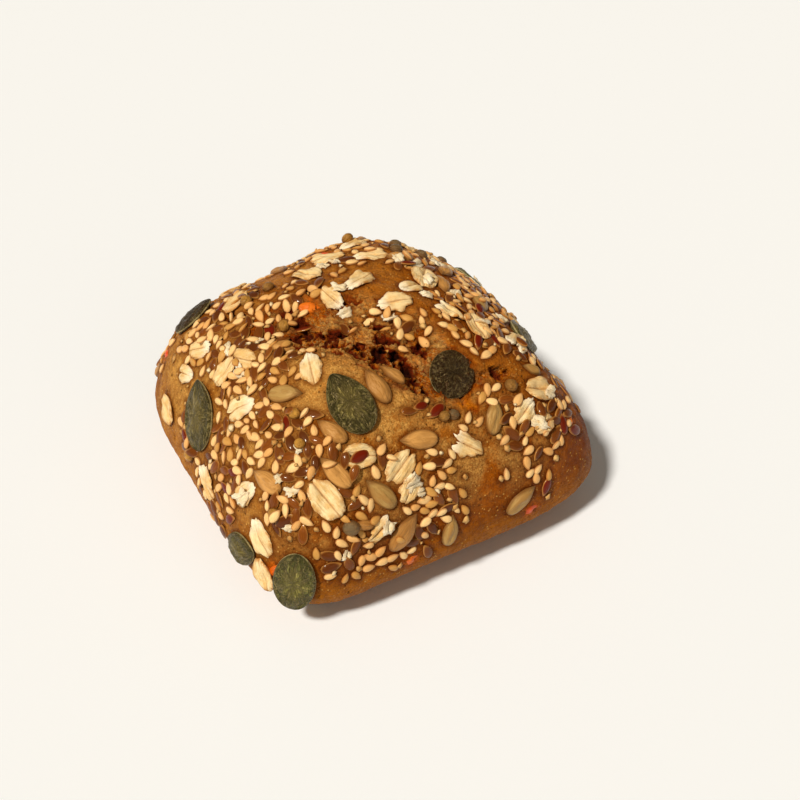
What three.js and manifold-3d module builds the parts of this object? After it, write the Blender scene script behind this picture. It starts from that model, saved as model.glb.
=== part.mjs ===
// A small square spelt loaf: one risen piece of dough, torn open across its crown in the oven, with its
// seeds and oat flakes baked into the crust. Millimetres, +Z up, origin at the middle of the flat base.
import * as THREE from "three";
import { mergeVertices } from "three/addons/utils/BufferGeometryUtils.js";
import Module from "manifold-3d";

const wasm = await Module();
wasm.setup();

// ---- driving dimensions of the dough, in millimetres ----
const SIDE = 92; // from flank to flank at the widest level
const HEIGHT = 50; // from the table to the crown
const WAIST = 11; // height of the widest level above the table
const BELLY = 17.6; // how far the rounding under the waist would reach if the table didn't flatten it
const FOOT_ROUND = 1.6; // rounding where the underside leaves the table
const PLAN_POWER = 4.5; // 2 is a round loaf, and more is squarer
const DOME_POWER = 1.95; // 2 is an elliptic dome
const SWELL = 0.5; // how far the hand-shaped dough wavers about the even form
const SWELL_WAVES = 6;
// Fuller and flatter places of this one loaf: longitude, latitude and spread in degrees, then millimetres.
const LUMPS = [
  [75, 41, 17, 2.4], [37, 34, 10, -2.2], [3, 28, 13, 1.2], [-28, 22, 12, -1.8], [-130, -4, 11, 1.6],
  [139, 10, 10, -0.8], [-152, 0, 9, -0.5], [-44, -2, 9, 0.9],
];

// ---- the tear across the crown, the dark slot behind its front lip and the cleft at its end ----
// Each has its middle and heading in plan, and bends towards its far side by "bend" half widths.
const TEAR = { x: -5, y: -9, heading: -50, length: 56, width: 16.5, bend: 0.25 };
const SLOT = { x: -7.5, y: -13.5, heading: -51, length: 42, width: 3.6, bend: -0.5 };
const CLEFT = { x: 15, y: -27.8, heading: -5, length: 18, width: 3.2, bend: 0.4 };
const TEAR_BOWL = 1.9; // depth of the torn crumb below the skin
const TEAR_LIP = 1.2; // height of the skin turned up along the tear
const SLOT_DEPTH = 3.2;
const CLEFT_DEPTH = 3.4;
const BLADE_SIDES = 12;
const BLADE_ROWS = 8;

// ---- grid of the dough's skin ----
const AROUND = 48;
const ROWS = 22;
const LAT_FOOT = -21; // latitude of the lowest ring, where the skin meets the table

// ---- toppings: length, width, thickness, how far the tip narrows, and the facets of one seed ----
const KINDS = {
  pumpkin: { length: 14.5, width: 9.4, thick: 2.8, point: 0.16, sides: 8, rows: 6, lift: 0.35 },
  sunflower: { length: 8.4, width: 4.6, thick: 2.6, point: 0.3, sides: 6, rows: 4, lift: 0.2 },
  oat: { length: 8.2, width: 5.4, thick: 1.7, point: 0.1, sides: 6, rows: 4, lift: 0.15 },
  millet: { length: 3.2, width: 3.0, thick: 2.8, point: 0, sides: 6, rows: 3, lift: 0.3 },
  flax: { length: 4.8, width: 2.5, thick: 1.6, point: 0.3, sides: 4, rows: 3, lift: 0 },
  sesame: { length: 3.1, width: 1.9, thick: 1.5, point: 0.35, sides: 4, rows: 3, lift: 0 },
};

// Toppings that show on the two near flanks and the crown: longitude, latitude and turn in degrees, seen
// from a point at the waist's middle, then the length in millimetres, and a share by which it is broader.
const PLACED = {
  pumpkin: [
    [-134, 4, 85, 15], [174, 22, 142, 17], [-125, 48, 127, 15], [-72, 50, 36, 11.6, 1.38],
    [135, 28, 121, 12], [-150, 3, 30, 12], [-23, 32, 160, 14],
  ],
  sunflower: [
    [-69, 33, 51, 8.5], [-99, 36, 169, 9], [-154, 46, 25, 9], [-113, 53, 119, 9], [-103, 57, 124, 7],
    [-127, 30, 139, 9], [-146, 24, 174, 9], [-130, 40, 151, 8], [-114, 24, 131, 9], [-108, 12, 44, 10],
    [-94, 7, 75, 8], [-71, 7, 28, 9], [-119, 17, 175, 5], [-45, 34, 105, 5], [2, 58, 160, 8],
    [39, 59, 41, 8], [-176, 58, 65, 7], [-131, -9, 0, 8],
  ],
  oat: [
    [-129, 24, 133, 10], [-83, 30, 133, 8], [-148, 56, 130, 8], [-170, 35, 55, 9], [171, 38, 102, 8],
    [174, 45, 33, 8], [153, 32, 59, 8], [157, 24, 36, 7], [-171, 9, 157, 9], [-152, 18, 60, 8],
    [-107, 30, 41, 9], [-105, 24, 57, 7], [-114, 15, 28, 7], [-120, 34, 0, 8], [-144, 11, 136, 9],
    [-142, 2, 113, 9], [-50, 30, 134, 8.5], [-59, 29, 10, 7], [-57, 23, 176, 6], [9, 64, 138, 10],
    [-34, 62, 55, 8], [-39, 53, 31, 9], [-48, 80, 118, 8], [-3, 73, 101, 7], [78, 82, 31, 9],
    [148, 79, 49, 7], [108, 62, 94, 9], [59, 62, 2, 9], [84, 56, 158, 9], [157, 10, 167, 9],
    [137, 45, 154, 8], [-35, 39, 156, 9],
  ],
};
// Toppings that fill the rest, strewn evenly: how many, the free gap around each in millimetres, and the
// side they lie on, as the least share of their direction that points along FAR.
const STREWN = [
  ["pumpkin", 5, 6, 0.05], ["sunflower", 11, 2.5, 0.05], ["oat", 17, 2, 0.05], ["millet", 8, 1.5, -1],
  ["flax", 18, 1, -1], ["sesame", 24, 0.8, -1],
];
const FAR = 50; // longitude, in degrees, of the side away from the placed toppings
const STREWN_SEED = 2407;
const SWELL_SEED = 11;
const SAG_OVER_TEAR = 0.7; // how far into the tear a topping that bridges it sags, as a share of the depth
const LAT_STREWN = -4; // the skin below this latitude stays bare
const MOST_TRIES = 40000;

const DEGREE = Math.PI / 180;
const HEART = new THREE.Vector3(0, 0, WAIST);

// A seeded random number from 0 to 1.
function randomFrom(seed) {
  let state = seed;
  return () => {
    state = (Math.imul(state, 1664525) + 1013904223) >>> 0;
    return state / 4294967296;
  };
}

function bell(x) {
  return Math.exp(-x * x);
}

// The length of (x, y) by another power than 2, so that its circle is a rounded square.
function powerLength(x, y, power) {
  return Math.pow(Math.pow(Math.abs(x), power) + Math.pow(Math.abs(y), power), 1 / power);
}

function directionAt(lon, lat) {
  return new THREE.Vector3(Math.cos(lat) * Math.cos(lon), Math.cos(lat) * Math.sin(lon), Math.sin(lat));
}

// The fuller and flatter places, and the long, shallow waves that make hand-shaped dough uneven.
const lumps = LUMPS.map(([lon, lat, spread, height]) => ({
  middle: directionAt(lon * DEGREE, lat * DEGREE),
  spread: spread * DEGREE,
  height,
}));
const swellRandom = randomFrom(SWELL_SEED);
const swellWaves = Array.from({ length: SWELL_WAVES }, () => ({
  x: 7 * swellRandom() - 3.5,
  y: 7 * swellRandom() - 3.5,
  z: 7 * swellRandom() - 3.5,
  phase: 2 * Math.PI * swellRandom(),
}));

function swell(d) {
  let sum = 0;
  for (const w of swellWaves) sum += Math.sin(w.x * d.x + w.y * d.y + w.z * d.z + w.phase);
  let lumpy = 0;
  for (const lump of lumps) lumpy += lump.height * bell(d.angleTo(lump.middle) / lump.spread);
  return (SWELL * sum) / Math.sqrt(SWELL_WAVES) + lumpy;
}

// Where a plan point lies in a split of the skin: along it from -1 to 1, and across it in half widths,
// positive towards the far side. "open" is 1 in its middle and 0 at its ends.
function inSplit(split, x, y) {
  const cos = Math.cos(split.heading * DEGREE);
  const sin = Math.sin(split.heading * DEGREE);
  const along = (cos * (x - split.x) + sin * (y - split.y)) / (split.length / 2);
  const across = (cos * (y - split.y) - sin * (x - split.x)) / (split.width / 2) + split.bend * along * along;
  const open = Math.sqrt(Math.max(0, 1 - along * along));
  return { across: across / (open + 0.12), open };
}

// How far the tear pushes the skin in or out at a plan point: a shallow bowl between two lips.
function tearAt(x, y) {
  const { across, open } = inSplit(TEAR, x, y);
  const bowl = Math.pow(Math.max(0, 1 - across * across), 0.6);
  const lips = bell((across + 1.35) / 0.5) + 0.8 * bell((across - 1.35) / 0.55);
  return open * (TEAR_LIP * lips - TEAR_BOWL * bowl);
}

// The skin's point in a direction from the loaf's heart. "torn" is 0 for the dough before it tears.
function skinAt(lon, lat, torn = 1) {
  const d = directionAt(lon, lat);
  const plan = powerLength(d.x, d.y, PLAN_POWER) / (SIDE / 2);
  const rise = d.z / (d.z > 0 ? HEIGHT - WAIST : BELLY);
  const even = 1 / powerLength(plan, rise, DOME_POWER);
  const crown = d.z > 0 ? torn * tearAt(even * d.x, even * d.y) : 0;
  const p = d.clone().multiplyScalar(even + swell(d) + crown).add(HEART);
  p.z = p.z > FOOT_ROUND ? p.z : p.z < -FOOT_ROUND ? 0 : (p.z + FOOT_ROUND) ** 2 / (4 * FOOT_ROUND);
  return p;
}

// A closed mesh as a solid. Only its positions count, with the vertices that seams repeat made one.
function solidOf(geometry) {
  const bare = new THREE.BufferGeometry().setAttribute("position", geometry.getAttribute("position"));
  bare.setIndex(geometry.index);
  const merged = mergeVertices(bare, 1e-4);
  return new wasm.Manifold(
    new wasm.Mesh({
      numProp: 3,
      vertProperties: merged.getAttribute("position").array,
      triVerts: new Uint32Array(merged.index.array),
    }),
  );
}

function geometryOf(solid) {
  const { vertProperties, triVerts } = solid.getMesh();
  const geometry = new THREE.BufferGeometry();
  geometry.setAttribute("position", new THREE.BufferAttribute(new Float32Array(vertProperties), 3));
  geometry.setIndex(new THREE.BufferAttribute(new Uint32Array(triVerts), 1));
  geometry.computeVertexNormals();
  return geometry;
}

// The dough: a sphere's grid whose rows run from the crown to the foot, closed by one flat underside.
function dough() {
  const grid = new THREE.SphereGeometry(1, AROUND, ROWS);
  const position = grid.getAttribute("position");
  const uv = grid.getAttribute("uv");
  for (let i = 0; i < position.count; i++) {
    const row = Math.round((1 - uv.getY(i)) * ROWS);
    const share = row / (ROWS - 1);
    const lat = row === ROWS ? -90 : 90 - (90 - LAT_FOOT) * (0.72 * share + 0.28 * share * share);
    const step = Math.round(uv.getX(i) * AROUND) % AROUND;
    const pole = row === 0 || row === ROWS;
    const p = skinAt(pole ? 0 : (step / AROUND) * 2 * Math.PI, lat * DEGREE);
    position.setXYZ(i, p.x, p.y, row < ROWS - 1 ? p.z : 0);
  }
  return solidOf(grid);
}

// Height of the even dome above a plan point.
function domeHeight(x, y) {
  const plan = powerLength(x, y, PLAN_POWER) / (SIDE / 2);
  const rest = 1 - Math.pow(plan, DOME_POWER);
  return WAIST + (HEIGHT - WAIST) * Math.pow(Math.max(0, rest), 1 / DOME_POWER);
}

// What a split takes out of the dough: a long lens, bent in plan, that follows the dome's height.
function blade(split, depth) {
  const geometry = new THREE.SphereGeometry(1, BLADE_SIDES, BLADE_ROWS);
  geometry.rotateZ(-Math.PI / 2);
  const position = geometry.getAttribute("position");
  const cos = Math.cos(split.heading * DEGREE);
  const sin = Math.sin(split.heading * DEGREE);
  for (let i = 0; i < position.count; i++) {
    const along = position.getX(i);
    const across = position.getZ(i) - split.bend * along * along;
    const x = split.x + (cos * along * split.length - sin * across * split.width) / 2;
    const y = split.y + (sin * along * split.length + cos * across * split.width) / 2;
    position.setXYZ(i, x, y, domeHeight(x, y) - position.getY(i) * depth);
  }
  return solidOf(geometry);
}

// One seed or flake about its own middle: long along X, flat in Z, narrower towards +X.
function seedGeometry(kind, length, broader) {
  const width = (kind.width * length * broader) / kind.length;
  const geometry = new THREE.SphereGeometry(1, kind.sides, kind.rows);
  geometry.rotateZ(-Math.PI / 2);
  const position = geometry.getAttribute("position");
  for (let i = 0; i < position.count; i++) {
    const x = position.getX(i);
    const taper = 1 - kind.point * x;
    position.setXYZ(
      i,
      (x * length) / 2,
      (position.getZ(i) * taper * width) / 2,
      (-position.getY(i) * taper * kind.thick) / 2,
    );
  }
  return geometry;
}

// The place of a topping on the skin: where it sits, which way is out, and its long side's heading.
// One that lies over the tear or the cleft bridges it.
function siteAt(lonDegrees, latDegrees, turnDegrees) {
  const lon = lonDegrees * DEGREE;
  const lat = latDegrees * DEGREE;
  const step = 0.02;
  const east = skinAt(lon + step, lat, 0).sub(skinAt(lon - step, lat, 0)).normalize();
  const north = skinAt(lon, lat + step, 0).sub(skinAt(lon, lat - step, 0));
  const out = east.clone().cross(north).normalize();
  const upslope = out.clone().cross(east);
  const turn = turnDegrees * DEGREE;
  const heading = east.multiplyScalar(Math.cos(turn)).addScaledVector(upslope, Math.sin(turn));
  const whole = skinAt(lon, lat, 0);
  const torn = skinAt(lon, lat);
  const bridges = torn.distanceTo(HEART) < whole.distanceTo(HEART);
  return { point: bridges ? whole.lerp(torn, SAG_OVER_TEAR) : torn, out, heading };
}

function seedAt({ kind: kindName, site, length, broader = 1 }) {
  const kind = KINDS[kindName];
  const side = site.out.clone().cross(site.heading);
  const place = new THREE.Matrix4().makeBasis(site.heading, side, site.out);
  place.setPosition(site.point.clone().addScaledVector(site.out, kind.lift * (kind.thick / 2)));
  return solidOf(seedGeometry(kind, length, broader).applyMatrix4(place));
}

function inTear(point) {
  const tear = inSplit(TEAR, point.x, point.y);
  const cleft = inSplit(CLEFT, point.x, point.y);
  const inBowl = Math.abs(tear.across) < 1.25 * Math.min(1, 3 * tear.open);
  return inBowl || Math.abs(cleft.across) < 1.6 * cleft.open;
}

// Every topping: the placed ones first, then each kind strewn by darts that keep clear of the rest.
function toppings() {
  const laid = [];
  for (const [kind, rows] of Object.entries(PLACED)) {
    for (const [lon, lat, turn, length, broader] of rows) {
      laid.push({ kind, length, broader, site: siteAt(lon, lat, turn) });
    }
  }
  const random = randomFrom(STREWN_SEED);
  const lowest = Math.sin(LAT_STREWN * DEGREE);
  const far = directionAt(FAR * DEGREE, 0);
  for (const [kind, count, gap, side] of STREWN) {
    let left = count;
    for (let tries = 0; tries < MOST_TRIES && left > 0; tries++) {
      const lon = 360 * random() - 180;
      const lat = Math.asin(lowest + (1 - lowest) * random()) / DEGREE;
      const turn = 180 * random();
      const length = KINDS[kind].length * (0.88 + 0.24 * random());
      const site = siteAt(lon, lat, turn);
      const clear = laid.every((other) => {
        const reach = gap + 0.4 * (length + other.length);
        return site.point.distanceTo(other.site.point) > reach;
      });
      const aside = directionAt(lon * DEGREE, lat * DEGREE).dot(far) < side;
      if (!clear || aside || inTear(site.point)) continue;
      laid.push({ kind, length, site });
      left -= 1;
    }
  }
  return laid;
}

// The largest of several solids: a scrap that hangs free, or a hollow that is sealed in, is left out.
function largestOf(solids) {
  return solids.reduce((best, one) => (one.volume() > best.volume() ? one : best));
}

function loaf() {
  let solid = dough().subtract(blade(SLOT, SLOT_DEPTH)).subtract(blade(CLEFT, CLEFT_DEPTH));
  for (const topping of toppings()) solid = solid.add(seedAt(topping));
  solid = largestOf(solid.decompose());
  const crust = new THREE.MeshStandardMaterial({ color: 0xb07a3c, roughness: 0.7, metalness: 0 });
  const mesh = new THREE.Mesh(geometryOf(solid), crust);
  mesh.name = "loaf";
  return mesh;
}

const group = new THREE.Group();
group.add(loaf());

export default group;
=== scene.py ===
"""A small square spelt loaf, torn open across its crown, with seeds and oat flakes baked into its crust.

The loaf's frame: flanks square to X and Y, crown up, origin at the middle of the flat underside. Shapes are
worked out in millimetres, and become metres where a mesh is made. Places on the loaf are given as longitude
and latitude in degrees, seen from its heart, a point at the middle of its widest level.
"""
import math

import bpy
import numpy as np
from mathutils import Matrix, Vector
from mathutils.bvhtree import BVHTree
from mathutils.kdtree import KDTree


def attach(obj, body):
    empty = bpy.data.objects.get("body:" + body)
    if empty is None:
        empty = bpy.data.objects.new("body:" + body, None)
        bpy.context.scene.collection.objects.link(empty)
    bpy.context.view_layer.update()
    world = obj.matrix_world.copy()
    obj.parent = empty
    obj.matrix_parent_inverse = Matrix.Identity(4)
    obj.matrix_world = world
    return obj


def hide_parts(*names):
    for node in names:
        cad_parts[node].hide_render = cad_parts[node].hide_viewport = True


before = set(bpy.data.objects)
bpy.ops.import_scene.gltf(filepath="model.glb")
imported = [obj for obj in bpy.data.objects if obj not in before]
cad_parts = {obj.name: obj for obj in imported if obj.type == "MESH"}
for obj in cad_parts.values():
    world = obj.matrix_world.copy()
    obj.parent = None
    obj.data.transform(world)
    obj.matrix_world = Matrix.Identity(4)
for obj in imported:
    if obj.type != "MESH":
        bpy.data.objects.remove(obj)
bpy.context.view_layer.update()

# ---------------------------------------------------------------- sizes of the dough, in millimetres
MM = 0.001
TO_MM = (1.0 / MM, 1.0 / MM, 1.0 / MM)
SIDE = 92.0
HEIGHT = 50.0
WAIST = 11.0
BELLY = 17.6
FOOT_ROUND = 1.6
PLAN_POWER = 4.5
DOME_POWER = 1.95
SWELL = 0.5
SWELL_WAVES = 6
SWELL_SEED = 11
# Fuller and flatter places: longitude, latitude, spread in degrees, height.
LUMPS = [
    (75, 41, 17, 2.4), (37, 34, 10, -2.2), (3, 28, 13, 1.2), (-28, 22, 12, -1.8), (-130, -4, 11, 1.6),
    (139, 10, 10, -0.8), (-152, 0, 9, -0.5), (-44, -2, 9, 0.9),
]
LAT_FOOT = -21.0
# Degrees each way over which the skin's slope is taken.
SLOPE_STEP = 1.15

# The tear, its dark slot and the cleft at its end: middle, heading, length, width and bend in plan.
TEAR = dict(x=-5.0, y=-9.0, heading=-50.0, length=56.0, width=16.5, bend=0.25)
SLOT = dict(x=-7.5, y=-13.5, heading=-51.0, length=42.0, width=3.6, bend=-0.5)
CLEFT = dict(x=15.0, y=-27.8, heading=-5.0, length=18.0, width=3.2, bend=0.4)
TEAR_BOWL = 1.9
TEAR_LIP = 1.2
SLOT_DEPTH = 1.2
CLEFT_DEPTH = 2.4
ALONG_TEAR = (math.cos(math.radians(TEAR["heading"])), math.sin(math.radians(TEAR["heading"])), 0.0)
ACROSS_TEAR = (-ALONG_TEAR[1], ALONG_TEAR[0], 0.0)
# The band of burst crumb along the slot, and its front lip.
BURST = dict(TEAR, x=-5.2, y=-9.2, width=23.0, length=51.0)
# Burst bubbles along the tear: plan x and y, radius and depth.
CAVITIES = [
    (-16.4, -1.0, 1.9, 2.6), (-9.4, 9.4, 1.3, 1.4), (-6.7, 8.1, 1.1, 1.2), (-8.8, -1.0, 0.9, 0.9),
    (-9.4, -6.5, 1.1, 1.2), (-13.5, -6.2, 1.2, 1.8), (-11.0, -12.0, 1.3, 1.8), (-8.1, -14.0, 1.3, 1.9),
    (-4.6, -14.9, 2.3, 2.3), (-2.0, -17.5, 1.6, 2.6), (-0.9, -21.8, 1.6, 2.2), (-0.5, -24.7, 1.8, 2.4),
    (0.6, -26.9, 1.5, 2.2), (2.0, -22.5, 1.2, 1.4), (17.2, -4.1, 1.3, 1.3), (-26.7, 18.4, 1.7, 1.6),
    (-23.6, 15.9, 1.7, 1.8), (-19.8, 11.7, 0.8, 1.0), (-1.5, -10.5, 0.9, 0.8), (6.0, -16.0, 1.0, 0.9),
]

# ---------------------------------------------------------------- toppings
# Length, width and thickness of each kind, and how deep it lies in the skin as a share of its thickness.
KINDS = {
    "pumpkin": dict(length=14.5, width=9.4, thick=2.4, sunk=0.3),
    "sunflower": dict(length=8.6, width=4.2, thick=2.4, sunk=0.48),
    "oat": dict(length=8.4, width=5.6, thick=1.5, sunk=0.36),
    "millet": dict(length=3.2, width=3.0, thick=2.4, sunk=0.3),
    "flax": dict(length=4.6, width=2.3, thick=0.9, sunk=0.38),
    "sesame": dict(length=3.1, width=1.85, thick=0.95, sunk=0.38),
    "carrot": dict(length=4.5, width=2.4, thick=1.4, sunk=0.8),
    "crumb": dict(length=1.5, width=1.1, thick=0.6, sunk=0.3),
}
# Lengths that the solid's rule for strewn toppings draws from.
STREWN_LENGTH = {"pumpkin": 14.5, "sunflower": 8.4, "oat": 8.2, "millet": 3.2}
# Toppings laid one by one: longitude, latitude, turn, length and, for one, how much broader it is.
PLACED = {
    "pumpkin": [
        (-134, 4, 85, 15), (174, 22, 142, 17), (-125, 48, 127, 15), (-72, 50, 36, 11.6, 1.38),
        (135, 28, 121, 12), (-150, 3, 30, 12), (-23, 32, 160, 14),
    ],
    "sunflower": [
        (-69, 33, 51, 8.5), (-99, 36, 169, 9), (-154, 46, 25, 9), (-113, 53, 119, 9), (-103, 57, 124, 7),
        (-127, 30, 139, 9), (-146, 24, 174, 9), (-130, 40, 151, 8), (-114, 24, 131, 9), (-108, 12, 44, 10),
        (-94, 7, 75, 8), (-71, 7, 28, 9), (-119, 17, 175, 5), (-45, 34, 105, 5), (2, 58, 160, 8),
        (39, 59, 41, 8), (-176, 58, 65, 7), (-131, -9, 0, 8),
    ],
    "oat": [
        (-129, 24, 133, 10), (-83, 30, 133, 8), (-148, 56, 130, 8), (-170, 35, 55, 9), (171, 38, 102, 8),
        (174, 45, 33, 8), (153, 32, 59, 8), (157, 24, 36, 7), (-171, 9, 157, 9), (-152, 18, 60, 8),
        (-107, 30, 41, 9), (-105, 24, 57, 7), (-114, 15, 28, 7), (-120, 34, 0, 8), (-144, 11, 136, 9),
        (-142, 2, 113, 9), (-50, 30, 134, 8.5), (-59, 29, 10, 7), (-57, 23, 176, 6), (9, 64, 138, 10),
        (-34, 62, 55, 8), (-39, 53, 31, 9), (-48, 80, 118, 8), (-3, 73, 101, 7), (78, 82, 31, 9),
        (148, 79, 49, 7), (108, 62, 94, 9), (59, 62, 2, 9), (84, 56, 158, 9), (157, 10, 167, 9),
        (137, 45, 154, 8), (-35, 39, 156, 9),
    ],
}
# The solid's strewn toppings: how many, free gap, and least share of their direction along FAR.
STREWN = [
    ("pumpkin", 5, 6.0, 0.05), ("sunflower", 11, 2.5, 0.05), ("oat", 17, 2.0, 0.05), ("millet", 8, 1.5, -1.0),
]
FAR = 50.0
STREWN_SEED = 2407
LAT_STREWN = -4.0
MOST_TRIES = 40000
# How near the tear and the cleft a strewn topping may come, in half widths.
TEAR_MARGIN = 1.25
CLEFT_MARGIN = 1.6

# Shades of the pumpkin seeds in turn, the darkest near 1.
PUMPKIN_TINTS = (0.15, 0.55, 0.4, 0.95, 0.97, 0.3, 0.7)

# Drifts of small seeds on the near side: longitude, latitude, spread, sesame seeds, flax seeds.
DRIFTS = [
    (160, 41, 7, 24, 5), (161, 52, 6, 24, 4), (147, 35, 6, 16, 4), (-178, 39, 5, 12, 4),
    (-173, 29, 5, 9, 4), (-164, 42, 4, 8, 3), (-167, 55, 4, 9, 2), (174, 55, 4, 6, 4),
    (171, 48, 4, 5, 5), (172, 27, 4, 3, 4), (173, 15, 4, 3, 4), (-173, 11, 4, 5, 3),
    (-161, 10, 5, 6, 4), (-165, 5, 4, 2, 4), (-158, 21, 4, 9, 4), (-152, 35, 4.5, 12, 4),
    (-147, 37, 3, 2, 4), (-140, 28, 4, 3, 4), (-136, 23, 4, 8, 3), (-133, 31, 3.5, 6, 4),
    (-129, 35, 3, 3, 4), (-141, 38, 3, 4, 2), (-126, 33, 2.5, 3, 2), (-121, 22, 4, 8, 2),
    (-120, 10, 5, 10, 2), (-139, 21, 4, 2, 4), (-112, 30, 3, 3, 1), (-97, 17, 4, 18, 3),
    (-94, 28, 3, 6, 1), (-79, 35, 2, 3, 0), (-67, 25, 2.5, 4, 3), (-61, 17, 5, 9, 1),
    (-74, 16, 1, 1, 0), (-96, 45, 2, 0, 2), (-91, 43, 1.5, 0, 1), (-109, 10, 4, 4, 1),
    (-127, 9, 3, 3, 2), (-104, 10, 3, 1, 2), (-64, 36, 3, 5, 1), (-55, 26, 3.5, 5, 4),
    (-51, 20, 4, 3, 5), (-63, 5, 2, 0, 1), (-101, 4, 2, 0, 1), (-39, 58, 4, 11, 2),
    (-68, 71, 3, 8, 1), (-19, 62, 3.5, 7, 2), (-44, 51, 3.5, 9, 3), (-27, 47, 4, 4, 5),
    (-36, 38, 4, 3, 5), (3, 44, 4, 5, 5), (-6, 44, 4, 7, 2), (36, 62, 3, 3, 2),
    (73, 63, 3, 3, 1), (137, 46, 3, 6, 3), (30, 56, 3, 3, 2), (-80, 80, 3, 4, 0), (-150, 78, 2, 1, 1),
    (120, 66, 4, 4, 1), (150, 62, 4, 3, 1), (100, 70, 4, 2, 1),
]
FAR_DRIFTS = 22
HIGHEST_FAR_DRIFT = 52.0
# Round grains that show: longitude, latitude and length.
ROUND_GRAINS = [
    (-122, 17, 3.8), (-87, 40, 2.6), (-83, 39, 2.8), (140, 49, 3.2), (165, 61, 3.0), (-145, 42, 2.8),
    (-141, 18, 3.0), (-139, 35, 2.6), (44, 54, 3.4), (69, 46, 3.2),
]
# Torn bits of oat flake: longitude, latitude and length.
CHIPS = [
    (-58, 24, 5), (-104, 25, 5), (-102, 22, 3), (-113, 15, 4), (-138, 24, 4), (-152, 17, 5.5), (-137, 16, 3),
    (130, 80, 4.5), (-170, 81, 4), (4, 65, 5), (-19, 69, 4), (-35, 51, 5), (-48, 27, 4.5), (-142, 26, 3),
    (-134, 29, 3), (177, 42, 4), (37, 62, 4), (26, 45, 5), (162, 41, 4), (169, 52, 3), (-123, 10, 3),
    (-139, 34, 3), (-97, 20, 2.6), (-76, 78, 4),
]
FAR_CHIPS = 12
CHIP_THINNER = 0.8
# Shreds of carrot baked into the dough: longitude, latitude, turn and length.
CARROT_BITS = [
    (154, 71, 88, 5.5), (-139, 5, 60, 4.5), (-48, 17, 30, 4), (-68, 2, 5, 5), (-130, 24, 80, 3),
    (84, 50, 20, 5), (-106, 2, 20, 4.5), (20, 20, 70, 5), (140, 15, 40, 4.5), (75, 8, 100, 5),
]

SEED = 41
draws = np.random.default_rng(SEED)


# ---------------------------------------------------------------- the skin of the loaf
def random_from(seed):
    """A draw from 0 to 1, the same one that strews the solid's toppings."""
    state = seed

    def draw():
        nonlocal state
        state = (state * 1664525 + 1013904223) % 2**32
        return state / 2**32

    return draw


def bell(x):
    return np.exp(-x * x)


def smooth_step(low, high, x):
    share = np.clip((x - low) / (high - low), 0.0, 1.0)
    return share * share * (3.0 - 2.0 * share)


def power_length(x, y, power):
    return (np.abs(x) ** power + np.abs(y) ** power) ** (1.0 / power)


def direction(lon, lat):
    """Unit vectors at longitudes and latitudes in degrees."""
    lon, lat = np.radians(lon), np.radians(lat)
    flat = np.cos(lat)
    return np.stack([flat * np.cos(lon), flat * np.sin(lon), np.sin(lat) + 0.0 * lon], -1)


swell_draw = random_from(SWELL_SEED)
swell_waves = [
    (np.array([7.0 * swell_draw() - 3.5 for axis in "xyz"]), 2.0 * math.pi * swell_draw())
    for wave in range(SWELL_WAVES)
]


def swell(d):
    """How far the hand-shaped dough stands in or out along each direction."""
    waves = sum(np.sin(d @ wave + phase) for wave, phase in swell_waves)
    lumpy = 0.0
    for lon, lat, spread, height in LUMPS:
        away = np.degrees(np.arccos(np.clip(d @ direction(lon, lat), -1.0, 1.0)))
        lumpy = lumpy + height * bell(away / spread)
    return SWELL * waves / math.sqrt(SWELL_WAVES) + lumpy


def in_split(split, x, y):
    """(across, open) of plan points in a split: across in half widths, and open from 0 at its ends to 1."""
    heading = math.radians(split["heading"])
    cos, sin = math.cos(heading), math.sin(heading)
    along = (cos * (x - split["x"]) + sin * (y - split["y"])) / (split["length"] / 2)
    across = (cos * (y - split["y"]) - sin * (x - split["x"])) / (split["width"] / 2)
    across = across + split["bend"] * along * along
    opened = np.sqrt(np.maximum(0.0, 1.0 - along * along))
    return across / (opened + 0.12), opened


def tear_at(x, y):
    """Height of the torn crown over the even dome: a shallow bowl between two lips."""
    across, opened = in_split(TEAR, x, y)
    bowl = np.maximum(0.0, 1.0 - across * across) ** 0.6
    lips = bell((across + 1.35) / 0.5) + 0.8 * bell((across - 1.35) / 0.55)
    return opened * (TEAR_LIP * lips - TEAR_BOWL * bowl)


def cuts_at(x, y, wander, closing):
    """Depth of the slot, the cleft and the burst bubbles.

    wander makes their edges uneven, and closing, from 0 to 1, is where torn strands still bridge them.
    """
    depth = 0.0
    for split, deepest in ((SLOT, SLOT_DEPTH), (CLEFT, CLEFT_DEPTH)):
        across, opened = in_split(split, x + 1.6 * wander, y - 1.6 * wander)
        across = across * (1.3 + closing)
        bowl = np.maximum(0.0, 1.0 - across * across) ** 0.7
        depth = depth + deepest * opened * (1.0 - 0.7 * closing) * bowl
    for at_x, at_y, radius, deepest in CAVITIES:
        away = np.hypot(x - at_x + 0.6 * wander, y - at_y + 0.6 * wander) / radius
        depth = np.maximum(depth, deepest * smooth_step(1.0, 0.35, away))
    return depth


def even_reach(d):
    """How far the even dome reaches from the heart along each direction."""
    plan = power_length(d[..., 0], d[..., 1], PLAN_POWER) / (SIDE / 2)
    rise = d[..., 2] / np.where(d[..., 2] > 0, HEIGHT - WAIST, BELLY)
    return 1.0 / power_length(plan, rise, DOME_POWER)


def skin(d, torn=1.0):
    """The skin's points along directions from the heart. torn is 0 for the dough before it tears."""
    even = even_reach(d)
    crown = np.where(d[..., 2] > 0, torn * tear_at(even * d[..., 0], even * d[..., 1]), 0.0)
    points = d * (even + swell(d) + crown)[..., None]
    z = points[..., 2] + WAIST
    rounded = (z + FOOT_ROUND) ** 2 / (4 * FOOT_ROUND)
    points[..., 2] = np.where(z > FOOT_ROUND, z, np.where(z < -FOOT_ROUND, 0.0, rounded))
    return points


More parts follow.
